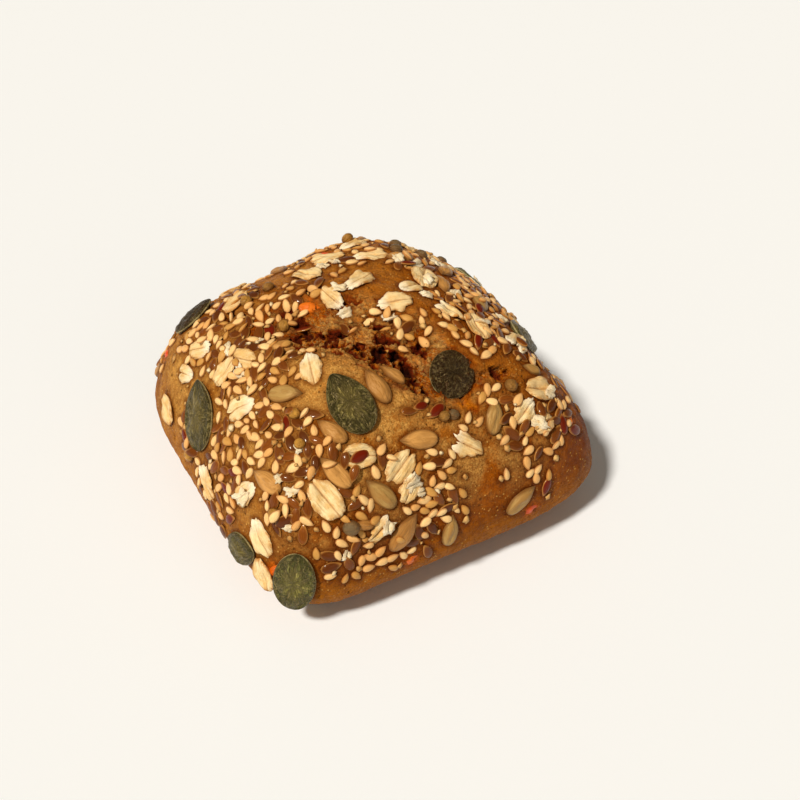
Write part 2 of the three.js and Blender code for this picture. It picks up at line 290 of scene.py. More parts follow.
def dome_height(x, y):
    plan = power_length(x, y, PLAN_POWER) / (SIDE / 2)
    return WAIST + (HEIGHT - WAIST) * np.maximum(0.0, 1.0 - plan**DOME_POWER) ** (1.0 / DOME_POWER)


def outward(lon, lat):
    """(out, east, upslope) at a place on the dough before it tears."""
    east = skin(direction(lon + SLOPE_STEP, lat), 0.0) - skin(direction(lon - SLOPE_STEP, lat), 0.0)
    north = skin(direction(lon, lat + SLOPE_STEP), 0.0) - skin(direction(lon, lat - SLOPE_STEP), 0.0)
    east = east / np.linalg.norm(east)
    out = np.cross(east, north)
    out = out / np.linalg.norm(out)
    return out, east, np.cross(out, east)


# ---------------------------------------------------------------- meshes and node trees
def new_mesh(name, points, faces, unit=MM):
    """A smooth mesh from points, which are in millimetres where no other unit is given."""
    mesh = bpy.data.meshes.new(name)
    mesh.from_pydata((np.asarray(points) * unit).tolist(), [], [list(map(int, face)) for face in faces])
    mesh.shade_smooth()
    return mesh


def new_object(name, mesh):
    thing = bpy.data.objects.new(name, mesh)
    bpy.context.scene.collection.objects.link(thing)
    return thing


def store(mesh, name, values):
    """Keeps one number or one vector for each point of a mesh."""
    values = np.asarray(values, np.float32)
    kind = {1: "FLOAT", 2: "FLOAT_VECTOR"}[values.ndim]
    attribute = mesh.attributes.new(name, kind, "POINT")
    attribute.data.foreach_set("value" if kind == "FLOAT" else "vector", values.ravel())


def grid_faces(rows, columns, closed):
    """Quads of a grid of points, row by row. A closed grid's last column joins its first."""
    faces = []
    for row in range(rows - 1):
        for column in range(columns if closed else columns - 1):
            right = (column + 1) % columns
            low, high = row * columns, (row + 1) * columns
            faces.append((low + column, low + right, high + right, high + column))
    return faces


class Net:
    """A node tree being built. A value given to a socket is a number, a colour or another node's output."""

    def __init__(self, tree):
        self.tree = tree

    def add(self, kind, sockets=None, **settings):
        """A new node, with its settings made before its sockets are filled."""
        node = self.tree.nodes.new(kind)
        for name, value in settings.items():
            setattr(node, name, value)
        for name, value in (sockets or {}).items():
            if isinstance(value, bpy.types.NodeSocket):
                self.tree.links.new(value, node.inputs[name])
            else:
                node.inputs[name].default_value = value
        return node

    def math(self, operation, first, second=0.0):
        return self.add("ShaderNodeMath", {0: first, 1: second}, operation=operation).outputs[0]

    def times(self, first, *others):
        for other in others:
            first = self.math("MULTIPLY", first, other)
        return first

    def total(self, first, *others):
        for other in others:
            first = self.math("ADD", first, other)
        return first

    def less(self, first, second):
        return self.math("SUBTRACT", first, second)

    def inverse(self, value):
        return self.math("DIVIDE", 1.0, value)

    def vectors(self, operation, sockets, output="Vector"):
        """A sum on vectors. Its output is Value where the sum gives one number."""
        return self.add("ShaderNodeVectorMath", sockets, operation=operation).outputs[output]

    def stretch(self, place, by):
        return self.vectors("MULTIPLY", {0: place, 1: by})

    def shift(self, place, by):
        return self.vectors("ADD", {0: place, 1: by})

    def scaled(self, place, by):
        return self.vectors("SCALE", {0: place, "Scale": by})

    def dot(self, place, heading):
        return self.vectors("DOT_PRODUCT", {0: place, 1: heading}, "Value")

    def parts(self, place):
        """The X, Y and Z of a vector."""
        return self.add("ShaderNodeSeparateXYZ", {0: place}).outputs

    def lifted(self, rise):
        """A vector straight up."""
        return self.add("ShaderNodeCombineXYZ", {2: rise}).outputs[0]

    def ramp(self, value, low, high, to_low=0.0, to_high=1.0):
        """Value eased from low..high to to_low..to_high, and kept within them."""
        ends = {"From Min": low, "From Max": high, "To Min": to_low, "To Max": to_high}
        sockets = {"Value": value, **ends}
        return self.add("ShaderNodeMapRange", sockets, interpolation_type="SMOOTHSTEP").outputs["Result"]

    def noise(self, place, scale, detail=2.0, rough=0.5, distortion=0.0):
        grain = {"Scale": scale, "Detail": detail, "Roughness": rough, "Distortion": distortion}
        return self.add("ShaderNodeTexNoise", {"Vector": place, **grain}).outputs[0]

    def patches(self, place, scale, low, high, detail=3.0, rough=0.6, distortion=0.0, least=0.0):
        """Patches of a noise: 1 where it is above high, and the least value where it is below low."""
        return self.ramp(self.noise(place, scale, detail, rough, distortion), low, high, least, 1.0)

    def cells(self, place, scale, feature="F1"):
        node = self.add("ShaderNodeTexVoronoi", {"Vector": place, "Scale": scale}, feature=feature)
        return node.outputs["Distance"]

    def drawn_out(self, place, heading, share):
        """Place with its spread along a unit heading cut by a share, so that a texture runs long there."""
        cut = self.times(self.dot(place, heading), -share)
        return self.shift(place, self.scaled(heading, cut))

    def bent(self, place, scale, reach):
        """Place pushed about by a noise, by up to about half its reach each way."""
        push = self.add("ShaderNodeTexNoise", {"Vector": place, "Scale": scale, "Detail": 2.0})
        return self.shift(place, self.scaled(push.outputs["Color"], reach))

    def group(self, tree, sockets):
        return self.add("ShaderNodeGroup", sockets, node_tree=tree).outputs

    def stored(self, name, kind="FLOAT"):
        """A value kept on the mesh that a geometry tree works on."""
        return self.add("GeometryNodeInputNamedAttribute", {"Name": name}, data_type=kind).outputs[0]

    def blend(self, share, first, second, mode="MIX"):
        """Colour first where share is 0, and second where it is 1."""
        node = self.add("ShaderNodeMix", {"Factor": share}, data_type="RGBA", blend_type=mode)
        for socket, value in ((node.inputs[6], first), (node.inputs[7], second)):
            if isinstance(value, bpy.types.NodeSocket):
                self.tree.links.new(value, socket)
            else:
                socket.default_value = value
        return node.outputs[2]


def new_group(name, kind, inputs, outputs):
    """A node group with named sockets: (name, socket type, default). Returns its net, and both end nodes."""
    tree = bpy.data.node_groups.new(name, kind)
    for socket_name, socket_type, default in inputs:
        socket = tree.interface.new_socket(name=socket_name, in_out="INPUT", socket_type=socket_type)
        if default is not None:
            socket.default_value = default
    for socket_name, socket_type in outputs:
        tree.interface.new_socket(name=socket_name, in_out="OUTPUT", socket_type=socket_type)
    net = Net(tree)
    return net, net.add("NodeGroupInput").outputs, net.add("NodeGroupOutput").inputs


GEOMETRY_OUT = [("Geometry", "NodeSocketGeometry")]


def end_tree(net, geometry, given, out):
    """Ends a geometry tree in a real mesh that wears the given material."""
    real = net.add("GeometryNodeRealizeInstances", {"Geometry": geometry}).outputs[0]
    dressed = net.add("GeometryNodeSetMaterial", {"Geometry": real, "Material": given["Material"]}).outputs[0]
    net.tree.links.new(dressed, out["Geometry"])
    return net.tree


def bake_modifier(thing, tree, values):
    """Runs a geometry tree on an object, with its named inputs set, and leaves a plain mesh."""
    tree.is_modifier = True
    modifier = thing.modifiers.new(tree.name, "NODES")
    modifier.node_group = tree
    for item in tree.interface.items_tree:
        if item.item_type == "SOCKET" and item.in_out == "INPUT" and item.name in values:
            modifier[item.identifier] = values[item.name]
    evaluated = thing.evaluated_get(bpy.context.evaluated_depsgraph_get())
    baked = bpy.data.meshes.new_from_object(evaluated)
    thing.modifiers.remove(modifier)
    plain = thing.data
    thing.data = baked
    baked.name = thing.name
    bpy.data.meshes.remove(plain)


# ---------------------------------------------------------------- colours and materials
# What the warm, oily skins do to the light they mirror.
GLOSS_TINT = (1.0, 0.76, 0.46, 1.0)

# Tones laid over a skin: red, green and blue as seen on a screen, and how much of the skin they cover.
TONES = {
    "foot": (196, 122, 22, 0.7),
    # Partly painted light: the crown's golden tone also stands for the light on the top of the loaf.
    "crown": (208, 124, 22, 0.5),
    "flour": (246, 190, 102, 1.0),
    "sand": (128, 64, 8, 0.44),
    "blotch": (108, 48, 4, 0.34),
    "pale speck": (240, 188, 100, 0.65),
    "dark speck": (92, 46, 16, 0.6),
    "flap": (240, 184, 100, 0.85),
    "red strand": (150, 50, 4, 0.5),
    "pale strand": (250, 204, 124, 0.5),
    # Painted shade in the tear's holes: the windows, their middles, the pits and the hollows.
    "window": (140, 46, 8, 1.0),
    "window's middle shade": (84, 20, 5, 1.0),
    "painted pit shade": (104, 34, 8, 1.0),
    "painted hollow shade": (44, 11, 5, 1.0),
    # Painted shade in the nooks beside the toppings.
    "nook": (150, 108, 48, 0.8),
    "carrot": (232, 116, 16, 0.7),
    "dark pumpkin seed": (74, 44, 14, 1.0),
    # Painted shade in the pumpkin seeds' wrinkles.
    "pumpkin wrinkle shade": (46, 38, 14, 0.75),
    "darkest pumpkin seed": (40, 20, 4, 0.65),
    # Pale fibres, partly painted highlights along the wrinkles.
    "pumpkin fibre and ridge highlight": (186, 164, 104, 1.0),
    "pumpkin rim": (60, 56, 26, 0.35),
    "pumpkin edge": (184, 172, 120, 0.9),
    "oat shade": (226, 180, 108, 0.4),
    "oat streak": (206, 150, 78, 0.3),
    "oat crease": (150, 88, 34, 0.6),
    "oat edge": (190, 124, 52, 0.9),
    "oat break": (252, 240, 212, 1.0),
}

# Heights on the loaf, in millimetres, between which a tone comes in.
FOOT_HEIGHTS = (21.0, 8.0)
CROWN_HEIGHTS = (22.0, 38.0)
SHOULDER_HEIGHTS = (16.0, 32.0)
LIP_HEIGHTS = (34.0, 44.0)
# X less Y, from the rosy pair of flanks to the amber pair.
ROSY_TO_AMBER = (-22.0, 26.0)
# Places across the tear, in millimetres: where the flour thins out, and both sides of its front lip.
FLOUR_THINS = (-14.0, -2.0)
LIP_FRONT = (-31.0, -22.0)
LIP_BACK = (-10.0, -16.0)
# Heights over the even skin, in millimetres, between which flaps, and the painted shade of pits and hollows,
# come in.
FLAP_RELIEF = (-1.2, 0.4)
PIT_RELIEF = (-1.2, -2.2)
HOLLOW_RELIEF = (-2.0, -3.2)
# A shift that makes a pattern fall another way on the same skin.
ELSEWHERE = (31.0, 17.0, 5.0)
# Shifts that make a pattern fall another way on each seed, for tints that are 1 apart.
GRAIN_APART = 97.0
PUMPKIN_APART = 53.0
OAT_APART = 61.0
# The tint above which a pumpkin seed is dark.
DARK_TINT = 0.86

# Seeds' skins: two shades, the edge and the odd seeds each with a share, streaks, roughness, streaks' depth.
SEEDS = {
    "sunflower": dict(
        name="sunflower kernel", pale=(212, 156, 86), deep=(150, 98, 42), edge=(108, 62, 20), edged=0.7,
        odd=(176, 140, 80), odd_ones=0.3, streaks=(0.3, 0.9, 0.55), rough=0.42, relief=0.18,
    ),
    "millet": dict(
        name="round grain", pale=(196, 142, 56), deep=(124, 84, 42), edge=(112, 70, 30), edged=0.5,
        odd=(104, 86, 60), odd_ones=0.25, streaks=(0.3, 0.4, 0.5), rough=0.42, relief=0.2,
    ),
    "flax": dict(
        name="flax seed", pale=(134, 72, 20), deep=(84, 38, 8), edge=(196, 138, 68), edged=0.65,
        odd=(108, 20, 2), odd_ones=0.12, streaks=(0.2, 1.0, 0.4), rough=0.35, relief=0.05,
        coat=0.25, gloss=0.12,
    ),
    "sesame": dict(
        name="sesame seed", pale=(248, 212, 150), deep=(222, 160, 88), edge=(168, 94, 30), edged=0.65,
        odd=(198, 146, 74), odd_ones=0.2, streaks=(0.2, 1.0, 0.3), rough=0.45, relief=0.04,
    ),
    "carrot": dict(
        name="carrot shred", pale=(238, 132, 28), deep=(216, 88, 8), edge=(200, 96, 16), edged=0.6,
        odd=(226, 74, 10), odd_ones=0.2, streaks=(0.3, 1.0, 0.6), rough=0.45, relief=0.15, coat=0.2,
    ),
    "crumb": dict(
        name="oat crumb", pale=(226, 184, 118), deep=(186, 128, 60), edge=(214, 170, 104), edged=0.5,
        odd=(242, 224, 184), odd_ones=0.15, streaks=(0.5, 0.5, 0.3), rough=0.65, relief=0.05,
    ),
}


def colour(red, green, blue):
    """A colour as seen on a screen, 0 to 255, as the linear colour that a shader takes."""
    channels = [value / 255.0 for value in (red, green, blue)]
    linear = [v / 12.92 if v <= 0.04045 else ((v + 0.055) / 1.055) ** 2.4 for v in channels]
    return (*linear, 1.0)


def toned(net, base, mask, name, mode="MIX"):
    """A colour with a named tone over it where the mask is 1."""
    *channels, share = TONES[name]
    return net.blend(net.times(mask, share), base, colour(*channels), mode)


def place_in_mm(net):
    """The place on the loaf, in millimetres."""
    return net.stretch(net.add("ShaderNodeTexCoord").outputs["Object"], TO_MM)


def attribute(net, name, output="Fac"):
    return net.add("ShaderNodeAttribute", attribute_name=name).outputs[output]


def own_place(net, place, tint, apart):
    """A seed's own part of a pattern, which differs with its tint."""
    return net.shift(place, net.lifted(net.times(tint, apart)))


def mottle_group():
    """Uneven browning: a colour between two browns, in broad patches broken up by finer ones."""
    inputs = [
        ("Place", "NodeSocketVector", None), ("Patch size", "NodeSocketFloat", 12.0),
        ("Pale", "NodeSocketColor", (1, 1, 1, 1)), ("Deep", "NodeSocketColor", (0, 0, 0, 1)),
    ]
    net, given, out = new_group("Mottle", "ShaderNodeTree", inputs, [("Colour", "NodeSocketColor")])
    scale = net.inverse(given["Patch size"])
    broad = net.noise(given["Place"], scale, 3.0, 0.6)
    fine = net.noise(given["Place"], net.times(scale, 7.0), 3.0, 0.6)
    mixed = net.total(net.times(broad, 0.65), net.times(fine, 0.35))
    net.tree.links.new(net.blend(net.ramp(mixed, 0.36, 0.64), given["Pale"], given["Deep"]), out["Colour"])
    return net.tree


def pores_group():
    """Pinholes in a skin: a mask that is 1 in each pinhole, and a height for a bump."""
    inputs = [
        ("Place", "NodeSocketVector", None), ("Spacing", "NodeSocketFloat", 1.4),
        ("Width", "NodeSocketFloat", 0.2),
    ]
    outputs = [("Mask", "NodeSocketFloat"), ("Height", "NodeSocketFloat")]
    net, given, out = new_group("Pinholes", "ShaderNodeTree", inputs, outputs)
    scale = net.inverse(given["Spacing"])
    away = net.cells(given["Place"], scale)
    some = net.ramp(net.noise(given["Place"], net.times(scale, 0.6), 1.0), 0.45, 0.6)
    width = net.times(given["Width"], some)
    mask = net.times(net.ramp(away, net.total(width, 0.04), net.times(width, 0.4)), some)
    net.tree.links.new(mask, out["Mask"])
    net.tree.links.new(net.times(mask, -1.0), out["Height"])
    return net.tree


def grain_group():
    """Streaks that run along a seed or flake, from its own place: a mask from 0 to 1."""
    inputs = [
        ("Place", "NodeSocketVector", None), ("Tint", "NodeSocketFloat", 0.0),
        ("Streak width", "NodeSocketFloat", 0.5), ("Streak length", "NodeSocketFloat", 5.0),
    ]
    net, given, out = new_group("Seed grain", "ShaderNodeTree", inputs, [("Streak", "NodeSocketFloat")])
    along, across = net.inverse(given["Streak length"]), net.inverse(given["Streak width"])
    by = net.add("ShaderNodeCombineXYZ", {0: along, 1: across, 2: across}).outputs[0]
    moved = own_place(net, net.stretch(given["Place"], by), given["Tint"], GRAIN_APART)
    net.tree.links.new(net.patches(moved, scale=1.0, low=0.33, high=0.67), out["Streak"])
    return net.tree


MOTTLE = mottle_group()
PINHOLES = pores_group()
GRAIN = grain_group()


def new_material(name):
    material = bpy.data.materials.new(name)
    material.use_nodes = True
    material.node_tree.nodes.clear()
    return material, Net(material.node_tree)


def finish_material(net, sockets):
    """Ends a material in its shader."""
    shader = net.add("ShaderNodeBsdfPrincipled", sockets)
    net.add("ShaderNodeOutputMaterial", {"Surface": shader.outputs[0]})


def bump(net, height, depth, over=None):
    """A normal from a height map whose 0..1 is that many millimetres deep."""
    sockets = {"Height": height, "Distance": depth * MM, "Strength": 1.0}
    if over is not None:
        sockets["Normal"] = over
    return net.add("ShaderNodeBump", sockets).outputs[0]


def thin_lines(net, place, scale, width):
    """Fine winding lines: a mask that is 1 along them."""
    away = net.math("ABSOLUTE", net.less(net.noise(place, scale, 3.0, 0.55), 0.5))
    return net.ramp(away, width, 0.2 * width)


def mottled(net, place, size, pale, deep):
    shades = {"Pale": colour(*pale), "Deep": colour(*deep)}
    return net.group(MOTTLE, {"Place": place, "Patch size": size, **shades})["Colour"]


def browning_and_crown_light(net, place):
    """Browning: rosy on one pair of flanks and amber on the other, more golden at the foot. The golden crown
    is partly painted light on the lit top.
    """
    along_x, along_y, height = net.parts(place)
    rosy = mottled(net, place, 9.0, (210, 148, 66), (164, 98, 30))
    amber = mottled(net, place, 8.0, (174, 90, 5), (116, 46, 0))
    baked = net.blend(net.ramp(net.less(along_x, along_y), *ROSY_TO_AMBER), rosy, amber)
    baked = toned(net, baked, net.ramp(height, *FOOT_HEIGHTS), "foot")
    # The golden crown tone is partly painted light on the lit top.
    return toned(net, baked, net.ramp(height, *CROWN_HEIGHTS), "crown")


def flour_mask(net, place, torn):
    """Flour, in dusty patches on the shoulders, thin beyond the tear, and along the tear's front lip."""
    height = net.parts(place)[2]
    beyond = net.dot(place, ACROSS_TEAR)
    dust = net.patches(place, scale=2.4, low=0.36, high=0.56, rough=0.75, least=0.35)
    patches = net.patches(place, scale=0.13, low=0.36, high=0.56, detail=4.0, rough=0.65)
    flour = net.times(patches, net.ramp(height, *SHOULDER_HEIGHTS), net.times(dust, 0.8), net.less(1.0, torn))
    flour = net.times(flour, net.ramp(beyond, *FLOUR_THINS, 1.0, 0.1))
    lip = net.times(net.ramp(beyond, *LIP_FRONT), net.ramp(beyond, *LIP_BACK), net.ramp(height, *LIP_HEIGHTS))
    return net.math("MAXIMUM", flour, net.times(lip, dust))


def branny(net, place, floured):
    """(colour, height of the dark specks) of the skin's bran: sandy grain, blotches, pale and dark specks."""
    sand = net.patches(place, scale=2.0, low=0.3, high=0.7, rough=0.8)
    blotches = net.patches(place, scale=0.35, low=0.44, high=0.62, detail=4.0, rough=0.65)
    pale = net.group(PINHOLES, {"Place": place, "Spacing": 0.85, "Width": 0.3})
    dark = net.group(PINHOLES, {"Place": net.shift(place, ELSEWHERE), "Spacing": 1.5, "Width": 0.22})
    coloured = toned(net, floured, sand, "sand")
    coloured = toned(net, coloured, blotches, "blotch")
    coloured = toned(net, coloured, pale["Mask"], "pale speck")
    return toned(net, coloured, dark["Mask"], "dark speck"), dark["Height"]


def torn_crumb(net, place, relief, burst):
    """(colour, height of its strands) of the tear: golden dough, floury flaps and strands, and windows and
    pits darkened with painted shade.
    """
    window = attribute(net, "window")
    threads = net.patches(place, scale=0.45, low=0.34, high=0.64, detail=4.0, rough=0.65, distortion=1.5)
    crumb = net.blend(threads, colour(150, 62, 2), colour(210, 118, 12))
    flaps = net.patches(place, scale=0.17, low=0.36, high=0.52)
    crumb = toned(net, crumb, net.times(flaps, burst, net.ramp(relief, *FLAP_RELIEF)), "flap")
    fibres = net.bent(net.drawn_out(place, ALONG_TEAR, 0.6), 0.5, 3.0)
    red = thin_lines(net, fibres, 0.6, 0.06)
    pale = thin_lines(net, net.stretch(fibres, (1.1, 1.1, 1.1)), 0.9, 0.035)
    crumb = toned(net, crumb, net.times(red, burst), "red strand")
    crumb = toned(net, crumb, net.times(pale, burst), "pale strand")
    # Painted shade: the open windows, their middles and the deep pits are darkened.
    crumb = toned(net, crumb, net.ramp(window, 0.1, 0.5), "window")
    crumb = toned(net, crumb, net.ramp(window, 0.45, 0.9), "window's middle shade")
    crumb = toned(net, crumb, net.times(burst, net.ramp(relief, *PIT_RELIEF)), "painted pit shade")
    return crumb, net.times(net.less(pale, red), burst)


def crust_material():
    """Baked skin: floury and pale on the shoulders, amber on the flanks, fibrous in the tear. Painted shade
    darkens the tear's holes and the nooks beside the toppings.
    """
    material, net = new_material("baked spelt crust")
    place = place_in_mm(net)
    relief, torn, burst = (attribute(net, name) for name in ("relief", "torn", "burst"))
    flour = flour_mask(net, place, torn)
    skin_colour, specks = branny(net, place, toned(net, browning_and_crown_light(net, place), flour, "flour"))
    crumb, strands = torn_crumb(net, place, relief, burst)
    opened = net.math("MAXIMUM", torn, burst)
    coloured = net.blend(opened, skin_colour, crumb)
    # Painted shade: the deepest hollows of the opened crust go near black.
    coloured = toned(net, coloured, net.times(net.ramp(relief, *HOLLOW_RELIEF), opened), "painted hollow shade")
    # Painted shade: the crust is darker and richer in the nooks beside the toppings.
    coloured = toned(net, coloured, attribute(net, "nook"), "nook", "MULTIPLY")
    # Carrot shows through the dough.
    shreds = net.patches(place, scale=0.9, low=0.35, high=0.6)
    coloured = toned(net, coloured, net.times(net.ramp(attribute(net, "glow"), 0.1, 0.9), shreds), "carrot")

    normal = bump(net, specks, 0.3)
    normal = bump(net, net.patches(place, scale=0.7, low=0.3, high=0.7), 0.3, normal)
    normal = bump(net, net.noise(place, 2.2, 4.0, 0.7), 0.5, normal)
    normal = bump(net, strands, 0.25, normal)
    finish_material(net, {
        "Base Color": coloured, "Roughness": net.ramp(flour, 0.0, 0.6, 0.55, 0.85), "Normal": normal,
        "Specular IOR Level": 0.1, "Specular Tint": GLOSS_TINT,
    })
    return material


def seed_material(name, pale, deep, edge, edged, odd, odd_ones, streaks, rough, relief, coat=0.0, gloss=0.4):
    """A seed's skin, each seed of its own shade from pale to deep, with streaks along it and an edge colour.

    odd_ones is the share of seeds of the odd colour, and streaks is their width, length and share.
    """
    material, net = new_material(name)
    tint = attribute(net, "tint")
    streak_width, streak_length, streaked = streaks
    streak = net.group(GRAIN, {
        "Place": attribute(net, "place", "Vector"), "Tint": tint,
        "Streak width": streak_width, "Streak length": streak_length,
    })["Streak"]
    base = net.blend(net.ramp(tint, 0.0, 1.0), colour(*pale), colour(*deep))
    base = net.blend(net.math("GREATER_THAN", tint, 1.0 - odd_ones), base, colour(*odd))
    base = net.blend(net.times(streak, streaked), base, colour(*deep))
    base = net.blend(net.ramp(attribute(net, "rim"), 0.35, 0.8, 0.0, edged), base, colour(*edge))
    finish_material(net, {
        "Base Color": base, "Roughness": rough, "Normal": bump(net, streak, relief),
        "Specular IOR Level": gloss, "Specular Tint": GLOSS_TINT, "Coat Weight": coat, "Coat Roughness": 0.12,
    })
    return material


def pumpkin_material():
    """Dried green skin: an olive middle, grey green outside it, wrinkles that fan out with painted shade in
    them and pale fibres that are partly painted highlights, a thin pale edge.
    """
    material, net = new_material("pumpkin seed skin")
    tint, rim = attribute(net, "tint"), attribute(net, "rim")
    local = attribute(net, "place", "Vector")
    flat = net.stretch(local, (1.0, 1.0, 0.0))
    away = net.vectors("LENGTH", {0: flat}, "Value")
    crumple = net.noise(own_place(net, local, tint, PUMPKIN_APART), 7.0, 4.0, 0.65)
    brown = net.ramp(tint, 0.15, 0.4)
    dull = net.blend(brown, colour(92, 94, 42), colour(86, 80, 38))
    bright = net.blend(brown, colour(158, 150, 74), colour(158, 140, 76))
    olive = net.total(net.ramp(away, 0.42, 0.08), net.less(crumple, 0.5))
    base = net.blend(net.ramp(olive, 0.0, 1.0), dull, bright)

    # Wrinkles and fibres fan out from the middle: their pattern turns with the way there and runs outwards.
    fan = net.scaled(net.vectors("NORMALIZE", {0: flat}), 3.2)
    outwards = net.total(net.times(away, 5.0), net.times(tint, PUMPKIN_APART / 3.0))
    fan = net.bent(net.shift(fan, net.lifted(outwards)), 0.9, 1.6)
    wrinkles = net.patches(fan, scale=1.0, low=0.36, high=0.6, detail=4.0, rough=0.7, distortion=0.6)
    fibres = thin_lines(net, net.stretch(fan, (1.3, 1.3, 1.3)), 1.2, 0.04)
    dark_seed = net.math("GREATER_THAN", tint, DARK_TINT)
    base = toned(net, base, dark_seed, "dark pumpkin seed")
    # Painted shade in the wrinkles.
    base = toned(net, base, wrinkles, "pumpkin wrinkle shade")
    base = toned(net, base, dark_seed, "darkest pumpkin seed")
    # The pale fibres are partly painted highlights along the wrinkles.
    base = toned(net, base, net.times(fibres, net.less(0.36, net.times(dark_seed, 0.1))), "pumpkin fibre and ridge highlight")
    base = toned(net, base, net.ramp(rim, 0.55, 0.8), "pumpkin rim")
    base = toned(net, base, net.ramp(rim, 0.86, 0.96), "pumpkin edge")
    folds = net.total(net.times(wrinkles, -1.0), net.times(crumple, 0.8))
    finish_material(net, {
        "Base Color": base, "Roughness": 0.33, "Specular IOR Level": 0.6, "Specular Tint": GLOSS_TINT,
        "Normal": bump(net, folds, 0.6),
    })
    return material


def oat_material():
    """Rolled oat: cream patched with tan, brown in its crease and along its edge, chalky where broken."""
    material, net = new_material("rolled oat")
    tint = attribute(net, "tint")
    local = attribute(net, "place", "Vector")
    moved = own_place(net, local, tint, OAT_APART)
    fine_grain = {"Place": local, "Tint": tint, "Streak width": 0.1, "Streak length": 0.7}
    streak = net.group(GRAIN, fine_grain)["Streak"]
    patches = net.patches(moved, scale=3.2, low=0.38, high=0.66, detail=4.0, rough=0.65)
    crumple = net.noise(moved, 6.0, 4.0, 0.65)
    across = net.math("ABSOLUTE", net.parts(local)[1])
    toasted = net.times(net.ramp(attribute(net, "rim"), 0.74, 1.0), net.ramp(crumple, 0.4, 0.6))
    chalky = net.times(attribute(net, "broken"), net.ramp(crumple, 0.35, 0.5, 0.45, 0.95))
    base = net.blend(net.times(patches, 0.75), colour(252, 232, 182), colour(228, 180, 104))
    base = toned(net, base, tint, "oat shade")
    base = toned(net, base, streak, "oat streak")
    base = toned(net, base, net.ramp(across, 0.045, 0.008), "oat crease")
    base = toned(net, base, toasted, "oat edge")
    base = toned(net, base, chalky, "oat break")
    folds = net.total(net.times(streak, -0.3), crumple)
    finish_material(net, {
        "Base Color": base, "Roughness": 0.55, "Specular IOR Level": 0.3, "Specular Tint": GLOSS_TINT,
        "Normal": bump(net, folds, 0.4),
    })
    return material


# ---------------------------------------------------------------- crust
TOP_REACH = 34.0
TOP_STEPS = 168
FLANK_ROWS = 88
UNDER_RINGS = (0.8, 0.55, 0.3)
# The tear's masks are kept to directions that rise by more than this.
CROWN_RISE = 0.3
# How far the edges of the torn and burst crumb wander, in millimetres.
FRAYED = 2.0
# How much of the slot's side is ripped open, in half widths of the slot.
RIPPED_REACH = 2.6
# Sizes of the baked relief, in millimetres.
RELIEF = {
    "Blister height": 1.1, "Blister size": 4.0, "Pore depth": 0.25, "Pore spacing": 2.2,
    "Crumb height": 2.8, "Crumb size": 3.8, "Bubble depth": 0.7, "Bubble spacing": 3.3,
    "Window depth": 1.4, "Foot clearance": 3.0,
}


def closer_steps(middle, spread, closer):
    """Plan positions across the crown, closer together around the tear."""
    fine = np.linspace(-TOP_REACH, TOP_REACH, 4000)
    density = 1.0 + closer * bell((fine - middle) / spread)
    share = np.cumsum(density)
    share = (share - share[0]) / (share[-1] - share[0])
    return np.interp(np.linspace(0.0, 1.0, TOP_STEPS), share, fine)


def crust_grid():
    """(directions, faces) of the skin: a square grid over the crown, columns down the flanks, rings below."""
    x, y = np.meshgrid(closer_steps(-4.0, 22.0, 1.0), closer_steps(-10.0, 22.0, 1.0))
    top = np.stack([x, y, dome_height(x, y) - WAIST], -1).reshape(-1, 3)
    top = top / np.linalg.norm(top, axis=1)[:, None]
    faces = grid_faces(TOP_STEPS, TOP_STEPS, False)
    last = TOP_STEPS - 1
    border = [column for column in range(last)]
    border += [row * TOP_STEPS + last for row in range(last)]
    border += [last * TOP_STEPS + column for column in range(last, 0, -1)]
    border += [row * TOP_STEPS for row in range(last, 0, -1)]
    around = len(border)
    edge = top[border]
    lon = np.degrees(np.arctan2(edge[:, 1], edge[:, 0]))
    lat = np.degrees(np.arcsin(edge[:, 2]))
    rows = [direction(lon, lat + (LAT_FOOT - lat) * row / FLANK_ROWS) for row in range(1, FLANK_ROWS + 1)]
    directions = np.concatenate([top] + rows)
    ring = np.array(border)
    first = len(top)
    for row in range(FLANK_ROWS):
        below = first + row * around + np.arange(around)
        turned, turned_below = np.roll(ring, -1), np.roll(below, -1)
        faces += list(zip(ring, below, turned_below, turned))
        ring = below
    return directions, faces, ring


def wandering(points, size, height):
    """A slow uneven value over points, from a few crossed waves."""
    scaled = points / size
    value = np.sin(scaled[:, 0] * 2.1 + 1.3 * np.sin(scaled[:, 1] * 1.7))
    value = value + np.sin(scaled[:, 1] * 2.7 + 1.1 * np.sin(scaled[:, 0] * 2.3 + 0.8))
    return 0.5 * height * value


